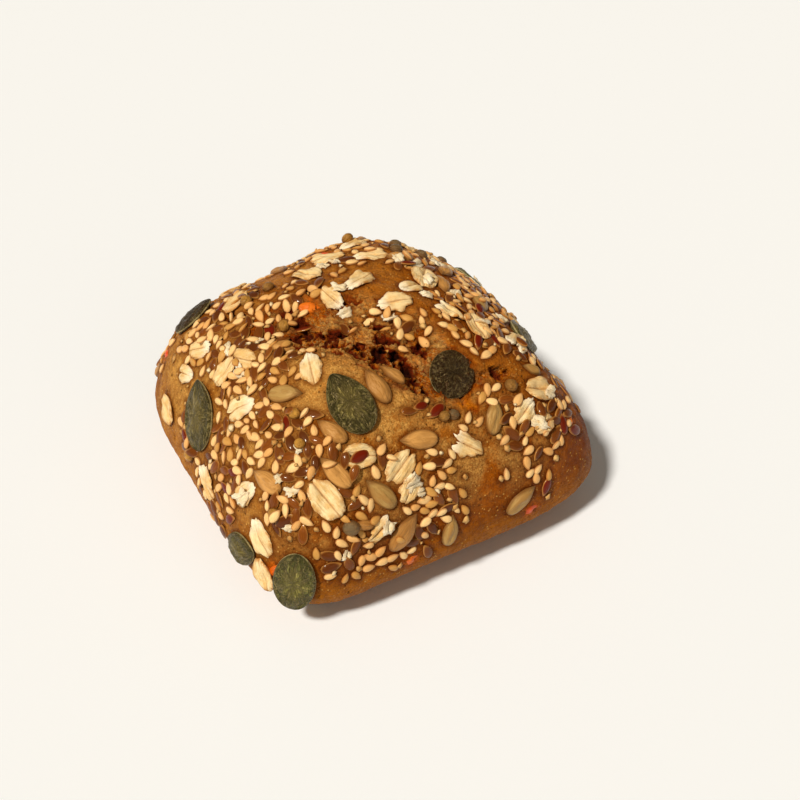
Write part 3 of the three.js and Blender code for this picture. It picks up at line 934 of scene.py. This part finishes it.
def crust_base():
    """The skin with its tear, slot, cleft and burst bubbles, closed by a flat underside."""
    directions, faces, foot = crust_grid()
    points = skin(directions)
    whole = skin(directions, 0.0)
    x, y = whole[:, 0], whole[:, 1]

    def on_crown(values):
        return np.where(directions[:, 2] > CROWN_RISE, values, 0.0)

    wander = wandering(points, 1.7, 0.7)
    closing = np.clip(0.5 + wandering(points, 4.3, 2.2), 0.0, 1.0)
    depth = on_crown(cuts_at(x, y, wander, closing))
    points = points - directions * depth[:, None]
    inside_cut = smooth_step(0.1, 0.8, depth)
    band, band_open = in_split(BURST, x + FRAYED * wander, y - FRAYED * wander)
    burst = smooth_step(1.1, 0.5, np.abs(band)) * smooth_step(0.05, 0.5, band_open)
    across, opened = in_split(TEAR, x + FRAYED * wander, y - FRAYED * wander)
    torn = smooth_step(1.12, 0.8, np.abs(across)) * smooth_step(0.05, 0.4, opened)
    beside_slot, slot_open = in_split(SLOT, x, y)
    glow = np.zeros(len(whole))
    for lon, lat, turn, length in CARROT_BITS:
        away = np.linalg.norm(whole - skin(direction(lon, lat), 0.0), axis=1)
        glow = np.maximum(glow, bell(away / (0.55 * length)))
    masks = {
        "torn": on_crown(np.maximum(torn, inside_cut)),
        "burst": on_crown(np.maximum(burst, inside_cut)),
        "cut": depth,
        "ripped": on_crown(slot_open * bell(beside_slot / RIPPED_REACH)),
        "glow": glow,
    }

    points[foot, 2] = 0.0
    rim = points[foot]
    for share in UNDER_RINGS:
        ring = np.arange(len(points), len(points) + len(foot))
        points = np.concatenate([points, rim * [share, share, 0.0]])
        faces += list(zip(foot, ring, np.roll(ring, -1), np.roll(foot, -1)))
        foot = ring
    centre = len(points)
    points = np.concatenate([points, [[0.0, 0.0, 0.0]]])
    faces += [(a, centre, b) for a, b in zip(foot, np.roll(foot, -1))]
    mesh = new_mesh("crust", points, faces)
    underside = np.zeros(len(points) - len(whole))
    for name, values in masks.items():
        store(mesh, name, np.concatenate([values, underside]))
    return mesh


def relief_tree():
    """Fine relief: low blisters and pores all over, a grainy tear, and webs of burst crumb along its slot."""
    inputs = [("Geometry", "NodeSocketGeometry", None), ("Material", "NodeSocketMaterial", None)]
    inputs += [(name, "NodeSocketFloat", size) for name, size in RELIEF.items()]
    net, given, out = new_group("Baked relief", "GeometryNodeTree", inputs, GEOMETRY_OUT)
    place = net.stretch(net.add("GeometryNodeInputPosition").outputs[0], TO_MM)
    torn, burst, cut, ripped = (net.stored(name) for name in ("torn", "burst", "cut", "ripped"))
    times, total = net.times, net.total

    def centred(value, height):
        return times(net.less(value, 0.5), height)

    blisters = net.noise(place, net.inverse(given["Blister size"]), 5.0, 0.6)
    blisters = centred(blisters, given["Blister height"])
    pores = net.ramp(net.cells(place, net.inverse(given["Pore spacing"])), 0.35, 0.0)
    pores = times(pores, given["Pore depth"], net.less(torn, 1.0))
    crumb = net.noise(place, net.inverse(given["Crumb size"]), 5.0, 0.7, 0.8)
    crumb = times(centred(crumb, given["Crumb height"]), net.math("MAXIMUM", times(torn, 0.4), burst))

    # Webs of crumb round large and small bubbles, some of the large ones open as windows.
    pulled = net.bent(net.drawn_out(place, ALONG_TEAR, 0.35), 0.7, 3.2)
    bubble_scale = net.inverse(given["Bubble spacing"])
    frayed = centred(net.noise(place, 1.1, 3.0, 0.6), 0.5)
    large = net.ramp(total(net.cells(pulled, bubble_scale, "DISTANCE_TO_EDGE"), frayed), 0.02, 0.2)
    small = net.ramp(net.cells(pulled, times(bubble_scale, 2.3), "DISTANCE_TO_EDGE"), 0.02, 0.3)
    bubble = net.add("ShaderNodeTexVoronoi", {"Vector": pulled, "Scale": bubble_scale}).outputs["Color"]
    opened = net.ramp(total(net.parts(bubble)[0], times(ripped, 0.6)), 0.74, 0.8)
    window = times(large, opened, burst)
    webs = times(total(times(large, 0.5), times(small, 0.4)), given["Bubble depth"], burst)
    webs = total(webs, times(window, given["Window depth"]))

    fine = net.less(total(blisters, pores, crumb), webs)
    fine = times(fine, net.ramp(net.parts(place)[2], 0.0, given["Foot clearance"]))
    normal = net.add("GeometryNodeInputNormal").outputs[0]
    kept = given["Geometry"]
    for name, value in (("relief", net.less(fine, cut)), ("window", window)):
        kept = net.add("GeometryNodeStoreNamedAttribute", {
            "Geometry": kept, "Name": name, "Value": value,
        }, data_type="FLOAT", domain="POINT").outputs[0]
    offset = net.scaled(normal, times(fine, MM))
    moved = net.add("GeometryNodeSetPosition", {"Geometry": kept, "Offset": offset}).outputs[0]
    return end_tree(net, moved, given, out)


def make_crust():
    crust = new_object("crust", crust_base())
    bake_modifier(crust, relief_tree(), {**RELIEF, "Material": crust_material()})
    return crust


# ---------------------------------------------------------------- shapes of the toppings
# Kinds of whole flake, and of torn bits of flake, which come after them.
OAT_SHAPES = 8
CHIP_SHAPES = 4
# How blunt and how pointed each kind of pumpkin seed is.
PUMPKIN_OUTLINES = [(0.03, 0.1), (0.02, 0.6), (0.1, 0.5), (0.0, 0.0)]
# How ragged each kind of whole flake is, and from where on its broken end is chalky.
RAGGED = (0.025, 0.035, 0.06, 0.1)
CHALKY_FROM = 0.05


def lens_shape(name, sides, rows, profile, crease=None, bend=0.0):
    """A closed seed about its own middle, 1 long along X, 1 wide and 1 thick.

    profile(s) is its half width, 0 to 1, from its blunt end at s = -1 to its tip at s = 1. crease(s, t) is
    its extra thickness at t across, -1 to 1, as a share.
    """
    points, place, rim = [], [], []
    for row in range(rows + 1):
        s = -math.cos(math.pi * row / rows)
        half = profile(s)
        count = 1 if row in (0, rows) else sides
        for side in range(count):
            angle = 2.0 * math.pi * side / sides
            t = math.cos(angle) if count > 1 else 0.0
            up = math.sin(angle) if count > 1 else 0.0
            extra = crease(s, t) if crease else 0.0
            z = half * up * (1.0 + extra) / 2 - bend * s * s
            points.append((s / 2, half * t / 2, z))
            place.append((s / 2, t / 2, z))
            rim.append(1.0 - half * abs(up))
    faces = []
    last = len(points) - 1
    for side in range(sides):
        right = (side + 1) % sides
        faces.append((0, 1 + right, 1 + side))
        for row in range(rows - 2):
            low = 1 + row * sides
            high = low + sides
            faces.append((low + side, low + right, high + right, high + side))
        low = 1 + (rows - 2) * sides
        faces.append((low + side, low + right, last))
    return shape_object(name, points, faces, place, rim)


def shape_object(name, points, faces, place, rim, broken=None):
    """A topping's own shape, kept out of the scene, with its place along the seed for streaks."""
    mesh = new_mesh(name, points, faces, 1.0)
    store(mesh, "place", place)
    store(mesh, "rim", rim)
    store(mesh, "broken", broken or np.zeros(len(points)))
    return bpy.data.objects.new(name, mesh)


def drop_profile(blunt, pointed):
    """Half width of a seed: fuller towards its blunt end, and from round to pointed at its tip."""

    def profile(s):
        round_part = math.sqrt(max(0.0, 1.0 - s * s))
        if s > 0:
            round_part += pointed * (1.0 - s**1.7 - round_part)
        return round_part * (1.0 - blunt * s)

    return profile


def pumpkin_shapes():
    """Flat drops with a beaded rim and a faintly wavy face."""
    shapes = []
    for variant, (blunt, pointed) in enumerate(PUMPKIN_OUTLINES):
        phase = 1.7 * variant

        def crease(s, t, phase=phase):
            bead = 0.7 * bell((abs(t) - 0.93) / 0.07)
            waves = 0.16 * math.sin(6.0 * s + 4.0 * t + phase)
            waves += 0.12 * math.sin(11.0 * t - 7.0 * s + 2.0 * phase)
            return bead + waves + 0.08 * math.sin(17.0 * s + 5.0 * math.sin(4.0 * t + phase))

        profile = drop_profile(blunt, pointed)
        shapes.append(lens_shape(f"pumpkin_{variant}", 40, 26, profile, crease, 0.05 * (variant - 1)))
    return shapes


def sunflower_shapes():
    """Fuller drops with dented faces."""
    shapes = []
    for variant in range(4):
        phase = 2.1 * variant

        def crease(s, t, phase=phase):
            dents = 0.14 * math.sin(2.4 * t + phase + 2.5 * s) + 0.1 * math.sin(5.0 * s - phase)
            return dents + 0.06 * math.sin(3.0 * s + 7.0 * t + 2.0 * phase)

        profile = drop_profile(0.1 + 0.04 * (variant % 2), 0.85)
        shapes.append(lens_shape(f"sunflower_{variant}", 28, 18, profile, crease, 0.04 * variant))
    return shapes


def small_seed_shapes(name, count, sides, rows, blunt, tip):
    shapes = []
    for variant in range(count):
        profile = drop_profile(blunt + 0.05 * variant, tip)
        shapes.append(lens_shape(f"{name}_{variant}", sides, rows, profile, bend=0.03 * variant))
    return shapes


def oat_shapes():
    """Rolled flakes: thin wavy ovals of two lobes about a crease, some ragged and split at one end."""
    shapes = []
    for variant in range(OAT_SHAPES):
        ragged = RAGGED[variant % len(RAGGED)]
        split = 0.04 + 0.26 * (variant % 2)
        chalk = float(ragged > CHALKY_FROM)
        shapes.append(flake_shape(f"oat_{variant}", 100 + variant, 44, 8, ragged, split, chalk))
    for variant in range(CHIP_SHAPES):
        name = f"oat_{OAT_SHAPES + variant}"
        shapes.append(flake_shape(name, 200 + variant, 20, 4, ragged=0.12, split=0.3, chalk=1.6))
    return shapes


def flake_shape(name, seed, sides, rings, ragged, split, chalk):
    """One flake. ragged and split shape its outline, and chalk is how far its broken white reaches in.

    Past 1, the white is all over it too.
    """
    chance = np.random.default_rng(seed)
    angles = np.linspace(0.0, 2.0 * math.pi, sides, endpoint=False)
    outline = 1.0 + 0.4 * ragged * chance.normal(size=sides)
    for wave in range(2, 13):
        size = ragged * chance.normal() / math.sqrt(wave)
        outline += size * np.sin(wave * angles + 2.0 * math.pi * chance.random())
    torn_end = smooth_step(0.4, 1.0, np.cos(angles))
    outline -= torn_end * (0.04 + 2.4 * ragged * chance.random(sides))
    outline -= split * torn_end * bell(np.sin(angles) / 0.16)
    outline = np.clip(outline, 0.35, 1.15)
    curl, cup, twist = 0.3 * chance.normal(), 0.7 * (chance.random() - 0.4), 0.3 * chance.normal()
    phases = 2.0 * math.pi * chance.random(4)

    def middle(x, y):
        ripple = 0.11 * math.sin(9.0 * x + 5.0 * y + phases[0])
        ripple += 0.09 * math.sin(11.0 * y - 6.0 * x + phases[1])
        ripple += 0.05 * math.sin(19.0 * y + 3.0 * x + phases[2])
        return curl * 4.0 * x * x + cup * 4.0 * y * y + twist * 4.0 * x * y + ripple

    def half_thickness(x, y, share, face):
        lobes = 0.7 + 0.45 * math.sin(math.pi * min(1.0, 2.2 * abs(y)))
        lobes += 0.12 * math.sin(13.0 * x + phases[3]) * math.sin(9.0 * y + phases[2])
        crease = 0.85 * bell(y / 0.04) * smooth_step(0.5, 0.38, abs(x)) if face > 0 else 0.0
        return 0.27 * math.sqrt(max(0.0, 1.0 - share**6)) * lobes * (1.0 - crease) + 0.03

    all_over = max(0.0, chalk - 1.0)
    points, place, rim, broken = [], [], [], []
    for face in (1, -1):
        points.append((0.0, 0.0, middle(0.0, 0.0) + face * half_thickness(0.0, 0.0, 0.0, face)))
        place.append((0.0, 0.0, 0.0))
        rim.append(0.0)
        broken.append(all_over)
        for ring in range(1, rings + 1):
            share = ring / rings
            for angle, reach in zip(angles, outline):
                x = 0.5 * share * reach * math.cos(angle)
                y = 0.5 * share * reach * math.sin(angle) * (1.0 - 0.3 * x)
                points.append((x, y, middle(x, y) + face * half_thickness(x, y, share, face)))
                place.append((x, y, 0.0))
                rim.append(share)
                broken.append(min(1.0, chalk * float(smooth_step(0.0, 0.4, x)) + all_over))
    under = len(points) // 2
    faces = []
    for side in range(sides):
        right = (side + 1) % sides
        faces.append((0, 1 + side, 1 + right))
        faces.append((under, under + 1 + right, under + 1 + side))
        for ring in range(rings - 1):
            low = 1 + ring * sides
            faces.append((low + side, low + sides + side, low + sides + right, low + right))
            low += under
            faces.append((low + side, low + right, low + sides + right, low + sides + side))
        top, bottom = 1 + (rings - 1) * sides, under + 1 + (rings - 1) * sides
        faces.append((top + side, bottom + side, bottom + right, top + right))
    return shape_object(name, points, faces, place, rim, broken)


def carrot_shapes():
    """Small worn shreds, thicker in the middle."""
    shapes = []
    for variant in range(3):
        phase = 1.3 * variant

        def crease(s, t, phase=phase):
            return 0.25 * math.sin(6.0 * s + phase) + 0.2 * math.sin(5.0 * t + 3.0 * s)

        profile = drop_profile(0.05, 0.3)
        shapes.append(lens_shape(f"carrot_{variant}", 14, 12, profile, crease, 0.1 * (variant - 1)))
    return shapes


def crumb_shapes():
    """Chips off oat flakes: a few uneven sides each."""
    shapes = []
    for variant in range(4):
        chance = np.random.default_rng(300 + variant)
        corners = 7
        angles = (np.arange(corners) + 0.5 * chance.random(corners)) * 2.0 * math.pi / corners
        reach = 0.35 + 0.25 * chance.random(corners)
        rise = 0.2 * chance.normal(size=corners)
        rim_points = np.stack([reach * np.cos(angles), reach * np.sin(angles), rise], -1)
        points = [(0.0, 0.0, 0.5), *rim_points.tolist(), (0.0, 0.0, -0.4)]
        faces = []
        for corner in range(corners):
            right = 1 + (corner + 1) % corners
            faces += [(0, 1 + corner, right), (corners + 1, right, 1 + corner)]
        rim = [0.0] + [1.0] * corners + [0.0]
        shapes.append(shape_object(f"crumb_{variant}", points, faces, points, rim))
    return shapes


# ---------------------------------------------------------------- where the toppings lie
# How far out from the dough the bed is felt for, in millimetres.
REACH = 14.0
# How far each way from its middle a topping feels for the bed, in its own lengths and widths.
FEELER = 0.36
# The steepest that a topping tips, as a rise over a run.
STEEPEST = 0.9
# How much of a topping's height is the highest that it touches. The rest is the mean of all that it feels.
PROPPED = 0.75
# The share of the small seeds that stay where they meet a larger topping, other than a pumpkin seed.
LODGED = 0.015
# The standard spread of a drift, for its spread in the lists.
SPREAD_OUT = 0.6
# How many tries a drift has for each of its seeds.
DRIFT_TRIES = 60
# How near the slot a small seed may come, in half widths.
SLOT_MARGIN = 2.0
# The outline that small seeds keep out of: the square of its reach, and its height, in half sizes.
CLEAR_OF_LARGE = 1.5
CLEAR_ABOVE = 4.0
# How wide the painted shade in the nooks beside the toppings is, in millimetres.
NOOK_SHADE_WIDTH = 0.85


class Bed:
    """What a topping comes to rest on: the crust, and the kinds laid on it so far."""

    def __init__(self, crust):
        points = np.empty(len(crust.vertices) * 3, np.float32)
        crust.vertices.foreach_get("co", points)
        points = points.reshape(-1, 3) / MM
        faces = [tuple(face.vertices) for face in crust.polygons]
        self.layers = [BVHTree.FromPolygons(points.tolist(), faces)]

    def lay(self, sites, shape):
        """Adds a layer: the same plain shape at every site."""
        base = np.array([tuple(v.co) for v in shape.data.vertices])
        faces = [tuple(face.vertices) for face in shape.data.polygons]
        points, all_faces = [], []
        for site in sites:
            start = len(points)
            turn = np.array(site["turn"])
            points += ((base * site["size"]) @ turn.T + site["point"]).tolist()
            all_faces += [tuple(start + corner for corner in face) for face in faces]
        if points:
            self.layers.append(BVHTree.FromPolygons(points, all_faces))

    def height(self, point, out):
        """How far the bed stands above a point, along out."""
        start = Vector(point + REACH * out)
        found = [layer.ray_cast(start, Vector(-out), 2.0 * REACH)[3] for layer in self.layers]
        found = [distance for distance in found if distance is not None]
        return REACH - min(found) if found else 0.0


def rest(bed, lon, lat, turn, kind, length, broader=1.0, tilt=0.0):
    """A site for a topping that lies on the bed, tipped to fit what is under it."""
    sizes = KINDS[kind]
    width = sizes["width"] * broader * length / sizes["length"]
    thick = sizes["thick"]
    up, east, upslope = outward(lon, lat)
    angle = math.radians(turn)
    heading = math.cos(angle) * east + math.sin(angle) * upslope
    side = np.cross(up, heading)
    point = skin(direction(lon, lat), 0.0)
    point[2] = max(point[2], 0.0)

    half, half_width = FEELER * length, FEELER * width
    middle = bed.height(point, up)
    ahead, behind = bed.height(point + half * heading, up), bed.height(point - half * heading, up)
    left, right = bed.height(point + half_width * side, up), bed.height(point - half_width * side, up)
    along = np.clip((ahead - behind) / (2.0 * half), -STEEPEST, STEEPEST)
    across = np.clip((left - right) / (2.0 * half_width), -STEEPEST, STEEPEST) + tilt
    level = PROPPED * max(middle, 0.5 * (ahead + behind), 0.5 * (left + right))
    level += (1.0 - PROPPED) * np.mean([middle, ahead, behind, left, right])

    heading = heading + along * up
    heading = heading / np.linalg.norm(heading)
    out = np.cross(heading, side + across * up)
    out = out / np.linalg.norm(out)
    return dict(
        point=point + level * up + out * thick * (0.5 - sizes["sunk"]),
        turn=np.stack([heading, np.cross(out, heading), out], -1),
        size=np.array([length, width, thick]),
    )


def near_split(point, split, margin):
    """Whether a point of the crown lies in a split, or beside it by less than the margin in half widths."""
    across, opened = in_split(split, point[0], point[1])
    return point[2] > WAIST and abs(across) < margin * min(1.0, 3.0 * opened)


def near_cleft(point):
    across, opened = in_split(CLEFT, point[0], point[1])
    return point[2] > WAIST and abs(across) < CLEFT_MARGIN * opened


def strewn_places():
    """The solid's own strewn toppings, by the same draws: kind, longitude, latitude, turn and length."""
    laid = []
    for kind, rows in PLACED.items():
        laid += [(kind, lon, lat, turn, length) for lon, lat, turn, length, *broader in rows]
    spots = [skin(direction(lon, lat)) for kind, lon, lat, turn, length in laid]
    placed = len(laid)
    draw = random_from(STREWN_SEED)
    lowest = math.sin(math.radians(LAT_STREWN))
    far = direction(FAR, 0.0)
    for kind, count, gap, side in STREWN:
        left = count
        for attempt in range(MOST_TRIES):
            if left == 0:
                break
            lon = 360.0 * draw() - 180.0
            lat = math.degrees(math.asin(lowest + (1.0 - lowest) * draw()))
            turn = 180.0 * draw()
            length = STREWN_LENGTH[kind] * (0.88 + 0.24 * draw())
            spot = skin(direction(lon, lat))
            clear = all(
                np.linalg.norm(spot - other) > gap + 0.4 * (length + known[4])
                for other, known in zip(spots, laid)
            )
            in_tear = near_split(spot, TEAR, TEAR_MARGIN) or near_cleft(spot)
            if not clear or in_tear or direction(lon, lat) @ far < side:
                continue
            laid.append((kind, lon, lat, turn, length))
            spots.append(spot)
            left -= 1
    return laid[placed:]


def meets(spot, toppings):
    """Whether a point lies at one of the toppings, or just outside its outline."""
    for site in toppings:
        away = (spot - site["point"]) @ site["turn"] / (0.5 * site["size"])
        if away[0] ** 2 + away[1] ** 2 < CLEAR_OF_LARGE and abs(away[2]) < CLEAR_ABOVE:
            return True
    return False


def drifted(drifts, which, spacing, kind, sites, spots):
    """Places in drifts of small seeds, none closer than its spacing to the spots known so far.

    None lies on a pumpkin seed and few lie on another large topping: the rest have slid off.
    """
    large = [site for name in ("pumpkin", "sunflower", "oat", "millet") for site in sites[name]]
    lowest = math.sin(math.radians(LAT_STREWN))
    places = []
    for lon, lat, spread, *counts in drifts:
        out, east, upslope = outward(lon, lat)
        middle = skin(direction(lon, lat), 0.0)
        left, tries = counts[which], 0
        while left > 0 and tries < DRIFT_TRIES * counts[which]:
            tries += 1
            offset = draws.normal(size=2) * spread * SPREAD_OUT
            spot = middle + offset[0] * east + offset[1] * upslope
            d = spot - [0.0, 0.0, WAIST]
            d = d / np.linalg.norm(d)
            on_skin = skin(d)
            if near_split(on_skin, SLOT, SLOT_MARGIN) or near_cleft(on_skin) or d[2] < lowest:
                continue
            if spots and np.min(np.linalg.norm(np.array(spots) - on_skin, axis=1)) < spacing:
                continue
            if meets(on_skin, sites["pumpkin"]):
                continue
            if draws.random() > LODGED and meets(on_skin, large):
                continue
            spots.append(on_skin)
            length = KINDS[kind]["length"] * (1.0 + 0.09 * draws.normal())
            place = (math.degrees(math.atan2(d[1], d[0])), math.degrees(math.asin(d[2])))
            places.append((*place, 360.0 * draws.random(), length))
            left -= 1
    return places


def far_drifts():
    """Drifts over the sides that no placed drift reaches."""
    drifts = []
    while len(drifts) < FAR_DRIFTS:
        lon = FAR + 190.0 * (draws.random() - 0.5)
        lat = math.degrees(math.asin(draws.random() ** 0.8))
        if direction(lon, lat) @ direction(FAR, 0.0) < 0.1 or lat > HIGHEST_FAR_DRIFT:
            continue
        spread = 4.0 + 5.0 * draws.random()
        sesame, flax = int(3 + 13 * draws.random()), int(1 + 5 * draws.random())
        drifts.append((lon, lat, spread, sesame, flax))
    return drifts


def laying_tree():
    """Lays shapes at sites. Each site says which shape, its size in millimetres and its turn."""
    inputs = [
        ("Geometry", "NodeSocketGeometry", None), ("Shapes", "NodeSocketCollection", None),
        ("Unit", "NodeSocketFloat", 1.0), ("Material", "NodeSocketMaterial", None),
    ]
    net, given, out = new_group("Lay toppings", "GeometryNodeTree", inputs, GEOMETRY_OUT)
    shapes = net.add("GeometryNodeCollectionInfo", {
        "Collection": given["Shapes"], "Separate Children": True, "Reset Children": True,
    }).outputs[0]
    turn = net.add("FunctionNodeEulerToRotation", {0: net.stored("turn", "FLOAT_VECTOR")}).outputs[0]
    size = net.scaled(net.stored("size", "FLOAT_VECTOR"), given["Unit"])
    laid = net.add("GeometryNodeInstanceOnPoints", {
        "Points": given["Geometry"], "Instance": shapes, "Pick Instance": True,
        "Instance Index": net.stored("shape"), "Rotation": turn, "Scale": size,
    }).outputs[0]
    return end_tree(net, laid, given, out)


LAYING = laying_tree()


def lay_piece(name, sites, shapes, material):
    """One piece of all the toppings of a kind. Those without a tint or a shape of their own draw one."""
    mesh = new_mesh(name, [site["point"] for site in sites], [])
    store(mesh, "turn", [Matrix(site["turn"].tolist()).to_euler() for site in sites])
    store(mesh, "size", [site["size"] for site in sites])
    store(mesh, "tint", [site.get("tint", draws.random()) for site in sites])
    store(mesh, "shape", [site.get("shape", draws.integers(len(shapes))) for site in sites])
    piece = new_object(name, mesh)
    collection = bpy.data.collections.new(name + " shapes")
    for shape in shapes:
        collection.objects.link(shape)
    bake_modifier(piece, LAYING, {"Shapes": collection, "Unit": MM, "Material": material})
    for shape in shapes:
        bpy.data.objects.remove(shape)
    bpy.data.collections.remove(collection)
    return piece


def paint_nook_shade(crust, toppings):
    """Keeps, for each point of the crust, how near it is to a topping: 1 where they touch, 0 well away. It
    masks the painted shade in the nooks.
    """
    corners = [v.co for topping in toppings for v in topping.data.vertices]
    tree = KDTree(len(corners))
    for number, corner in enumerate(corners):
        tree.insert(corner, number)
    tree.balance()
    away = np.array([tree.find(v.co)[2] for v in crust.data.vertices])
    store(crust.data, "nook", bell(away / (NOOK_SHADE_WIDTH * MM)))


# ---------------------------------------------------------------- the loaf
crust = make_crust()
bed = Bed(crust.data)

shapes = {
    "pumpkin": pumpkin_shapes(),
    "sunflower": sunflower_shapes(),
    "oat": oat_shapes(),
    "millet": small_seed_shapes("millet", 2, 10, 7, 0.0, 0.0),
    "flax": small_seed_shapes("flax", 3, 10, 8, 0.1, 0.6),
    "sesame": small_seed_shapes("sesame", 3, 8, 7, 0.16, 0.6),
    "carrot": carrot_shapes(),
    "crumb": crumb_shapes(),
}
sites = {kind: [] for kind in KINDS}

for lon, lat, turn, length in CARROT_BITS:
    sites["carrot"].append(rest(bed, lon, lat, turn, "carrot", length))

strewn = strewn_places()
for kind in ("pumpkin", "sunflower", "oat"):
    rows = PLACED[kind] + [place[1:] for place in strewn if place[0] == kind]
    for number, (lon, lat, turn, *length_and_broader) in enumerate(rows):
        site = rest(bed, lon, lat, turn, kind, *length_and_broader)
        if kind == "pumpkin":
            site.update(shape=number % len(shapes[kind]), tint=PUMPKIN_TINTS[number % len(PUMPKIN_TINTS)])
        if kind == "oat":
            site.update(shape=int(draws.integers(OAT_SHAPES)))
        sites[kind].append(site)
    bed.lay(sites[kind], shapes[kind][0])

chip_rows = CHIPS + [
    (FAR + 160.0 * (draws.random() - 0.5), 70.0 * draws.random(), 3.0 + 2.5 * draws.random())
    for chip in range(FAR_CHIPS)
]
chips = []
for lon, lat, length in chip_rows:
    chip = rest(bed, lon, lat, 360.0 * draws.random(), "oat", length, tilt=0.35 * draws.normal())
    chip["size"][2] *= CHIP_THINNER
    chip.update(shape=OAT_SHAPES + int(draws.integers(CHIP_SHAPES)), tint=0.1 * draws.random())
    chips.append(chip)
bed.lay(chips, shapes["oat"][-1])
sites["oat"] += chips

round_rows = [(lon, lat, 0.0, length) for lon, lat, length in ROUND_GRAINS]
round_rows += [place[1:] for place in strewn if place[0] == "millet"]
for lon, lat, turn, length in round_rows:
    sites["millet"].append(rest(bed, lon, lat, turn, "millet", length))
bed.lay(sites["millet"], shapes["millet"][0])

all_drifts = DRIFTS + far_drifts()
spots = []
for kind, which, spacing in (("flax", 1, 2.6), ("sesame", 0, 1.95)):
    layer = []
    for lon, lat, turn, length in drifted(all_drifts, which, spacing, kind, sites, spots):
        layer.append(rest(bed, lon, lat, turn, kind, length, tilt=0.15 * draws.normal()))
    bed.lay(layer, shapes[kind][0])
    sites[kind] = layer

crumbs = [(lon, lat, 1.4 * spread, (sesame + flax) // 6 + 1) for lon, lat, spread, sesame, flax in all_drifts]
for lon, lat, turn, length in drifted(crumbs, 0, 1.2, "crumb", sites, spots):
    sites["crumb"].append(rest(bed, lon, lat, turn, "crumb", length * (0.6 + 0.9 * draws.random())))

materials = {"pumpkin": pumpkin_material(), "oat": oat_material()}
for kind, look in SEEDS.items():
    materials[kind] = seed_material(**look)
piece_names = {
    "pumpkin": "pumpkin_seeds", "sunflower": "sunflower_kernels", "oat": "oat_flakes",
    "millet": "round_grains", "flax": "flax_seeds", "sesame": "sesame_seeds", "carrot": "carrot_bits",
    "crumb": "oat_crumbs",
}
pieces = [crust]
for kind, name in piece_names.items():
    pieces.append(lay_piece(name, sites[kind], shapes[kind], materials[kind]))

# Painted shade beside the toppings.
paint_nook_shade(crust, pieces[1:])

for piece in pieces:
    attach(piece, "root")
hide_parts("loaf")

# ---------------------------------------------------------------- floor, light and camera
FLOOR_SIZE = 8.0
FLOOR_COLOUR = (0.86, 0.91, 0.99, 1.0)
corners = [(x * FLOOR_SIZE / 2, y * FLOOR_SIZE / 2, 0.0) for x, y in ((-1, -1), (1, -1), (1, 1), (-1, 1))]
floor = new_object("floor", new_mesh("floor", corners, [(0, 1, 2, 3)], 1.0))
floor_material, floor_net = new_material("pale floor")
finish_material(floor_net, {"Base Color": FLOOR_COLOUR, "Roughness": 0.9})
floor.data.materials.append(floor_material)

VIEW_TURN = math.radians(-28.5)
VIEW_RISE = math.radians(42.0)
VIEW_DISTANCE = 0.290
FOCUS_PIXELS = 1180.0
FRAME_PIXELS = 800.0
AIM_PIXEL = (365.0, 394.0)
AIM_HEIGHT = 0.020

to_camera = Vector((
    math.sin(VIEW_TURN) * math.cos(VIEW_RISE),
    -math.cos(VIEW_TURN) * math.cos(VIEW_RISE),
    math.sin(VIEW_RISE),
))
aim = Vector((0.0, 0.0, AIM_HEIGHT))
camera_data = bpy.data.cameras.new("camera")
camera = bpy.data.objects.new("camera", camera_data)
bpy.context.scene.collection.objects.link(camera)
camera.location = aim + VIEW_DISTANCE * to_camera
camera.rotation_euler = (-to_camera).to_track_quat("-Z", "Y").to_euler()
camera_data.lens = camera_data.sensor_width * FOCUS_PIXELS / FRAME_PIXELS
camera_data.shift_x = (FRAME_PIXELS / 2 - AIM_PIXEL[0]) / FRAME_PIXELS
camera_data.shift_y = (AIM_PIXEL[1] - FRAME_PIXELS / 2) / FRAME_PIXELS
camera_data.clip_start = 0.01
bpy.context.scene.camera = camera

WARM = (1.0, 0.92, 0.79)
# The surroundings' strength and colour: as they light the loaf, and as the camera sees them.
AMBIENT = 0.16
BACKDROP = 0.95
AMBIENT_COLOUR = (1.0, 0.86, 0.66, 1.0)
BACKDROP_COLOUR = (1.0, 0.99, 0.97, 1.0)
to_right = Vector((math.cos(VIEW_TURN), math.sin(VIEW_TURN), 0.0))
to_front = Vector((to_camera.x, to_camera.y, 0.0)).normalized()
UP = Vector((0.0, 0.0, 1.0))


def soft_light(name, towards, spread, strength):
    """A warm light that is even over the floor. spread is its width as seen from the loaf, in degrees."""
    data = bpy.data.lights.new(name, "SUN")
    data.color = WARM
    data.angle = math.radians(spread)
    data.energy = strength
    light = bpy.data.objects.new(name, data)
    bpy.context.scene.collection.objects.link(light)
    light.location = aim + towards
    light.rotation_euler = (-towards).to_track_quat("-Z", "Y").to_euler()


soft_light("key", -0.5 * to_right + 0.43 * to_front + 0.95 * UP, 8.0, 3.5)
soft_light("fill", 0.7 * to_right + 0.9 * to_front + 0.5 * UP, 50.0, 0.3)

world = bpy.data.worlds.new("world")
bpy.context.scene.world = world
world.use_nodes = True
backdrop = world.node_tree.nodes["Background"]
world_net = Net(world.node_tree)
seen = world_net.add("ShaderNodeLightPath").outputs["Is Camera Ray"]
sky = world_net.blend(seen, AMBIENT_COLOUR, BACKDROP_COLOUR)
world_net.tree.links.new(sky, backdrop.inputs["Color"])
world_net.tree.links.new(world_net.ramp(seen, 0.0, 1.0, AMBIENT, BACKDROP), backdrop.inputs["Strength"])
bpy.context.scene.view_settings.view_transform = "Standard"
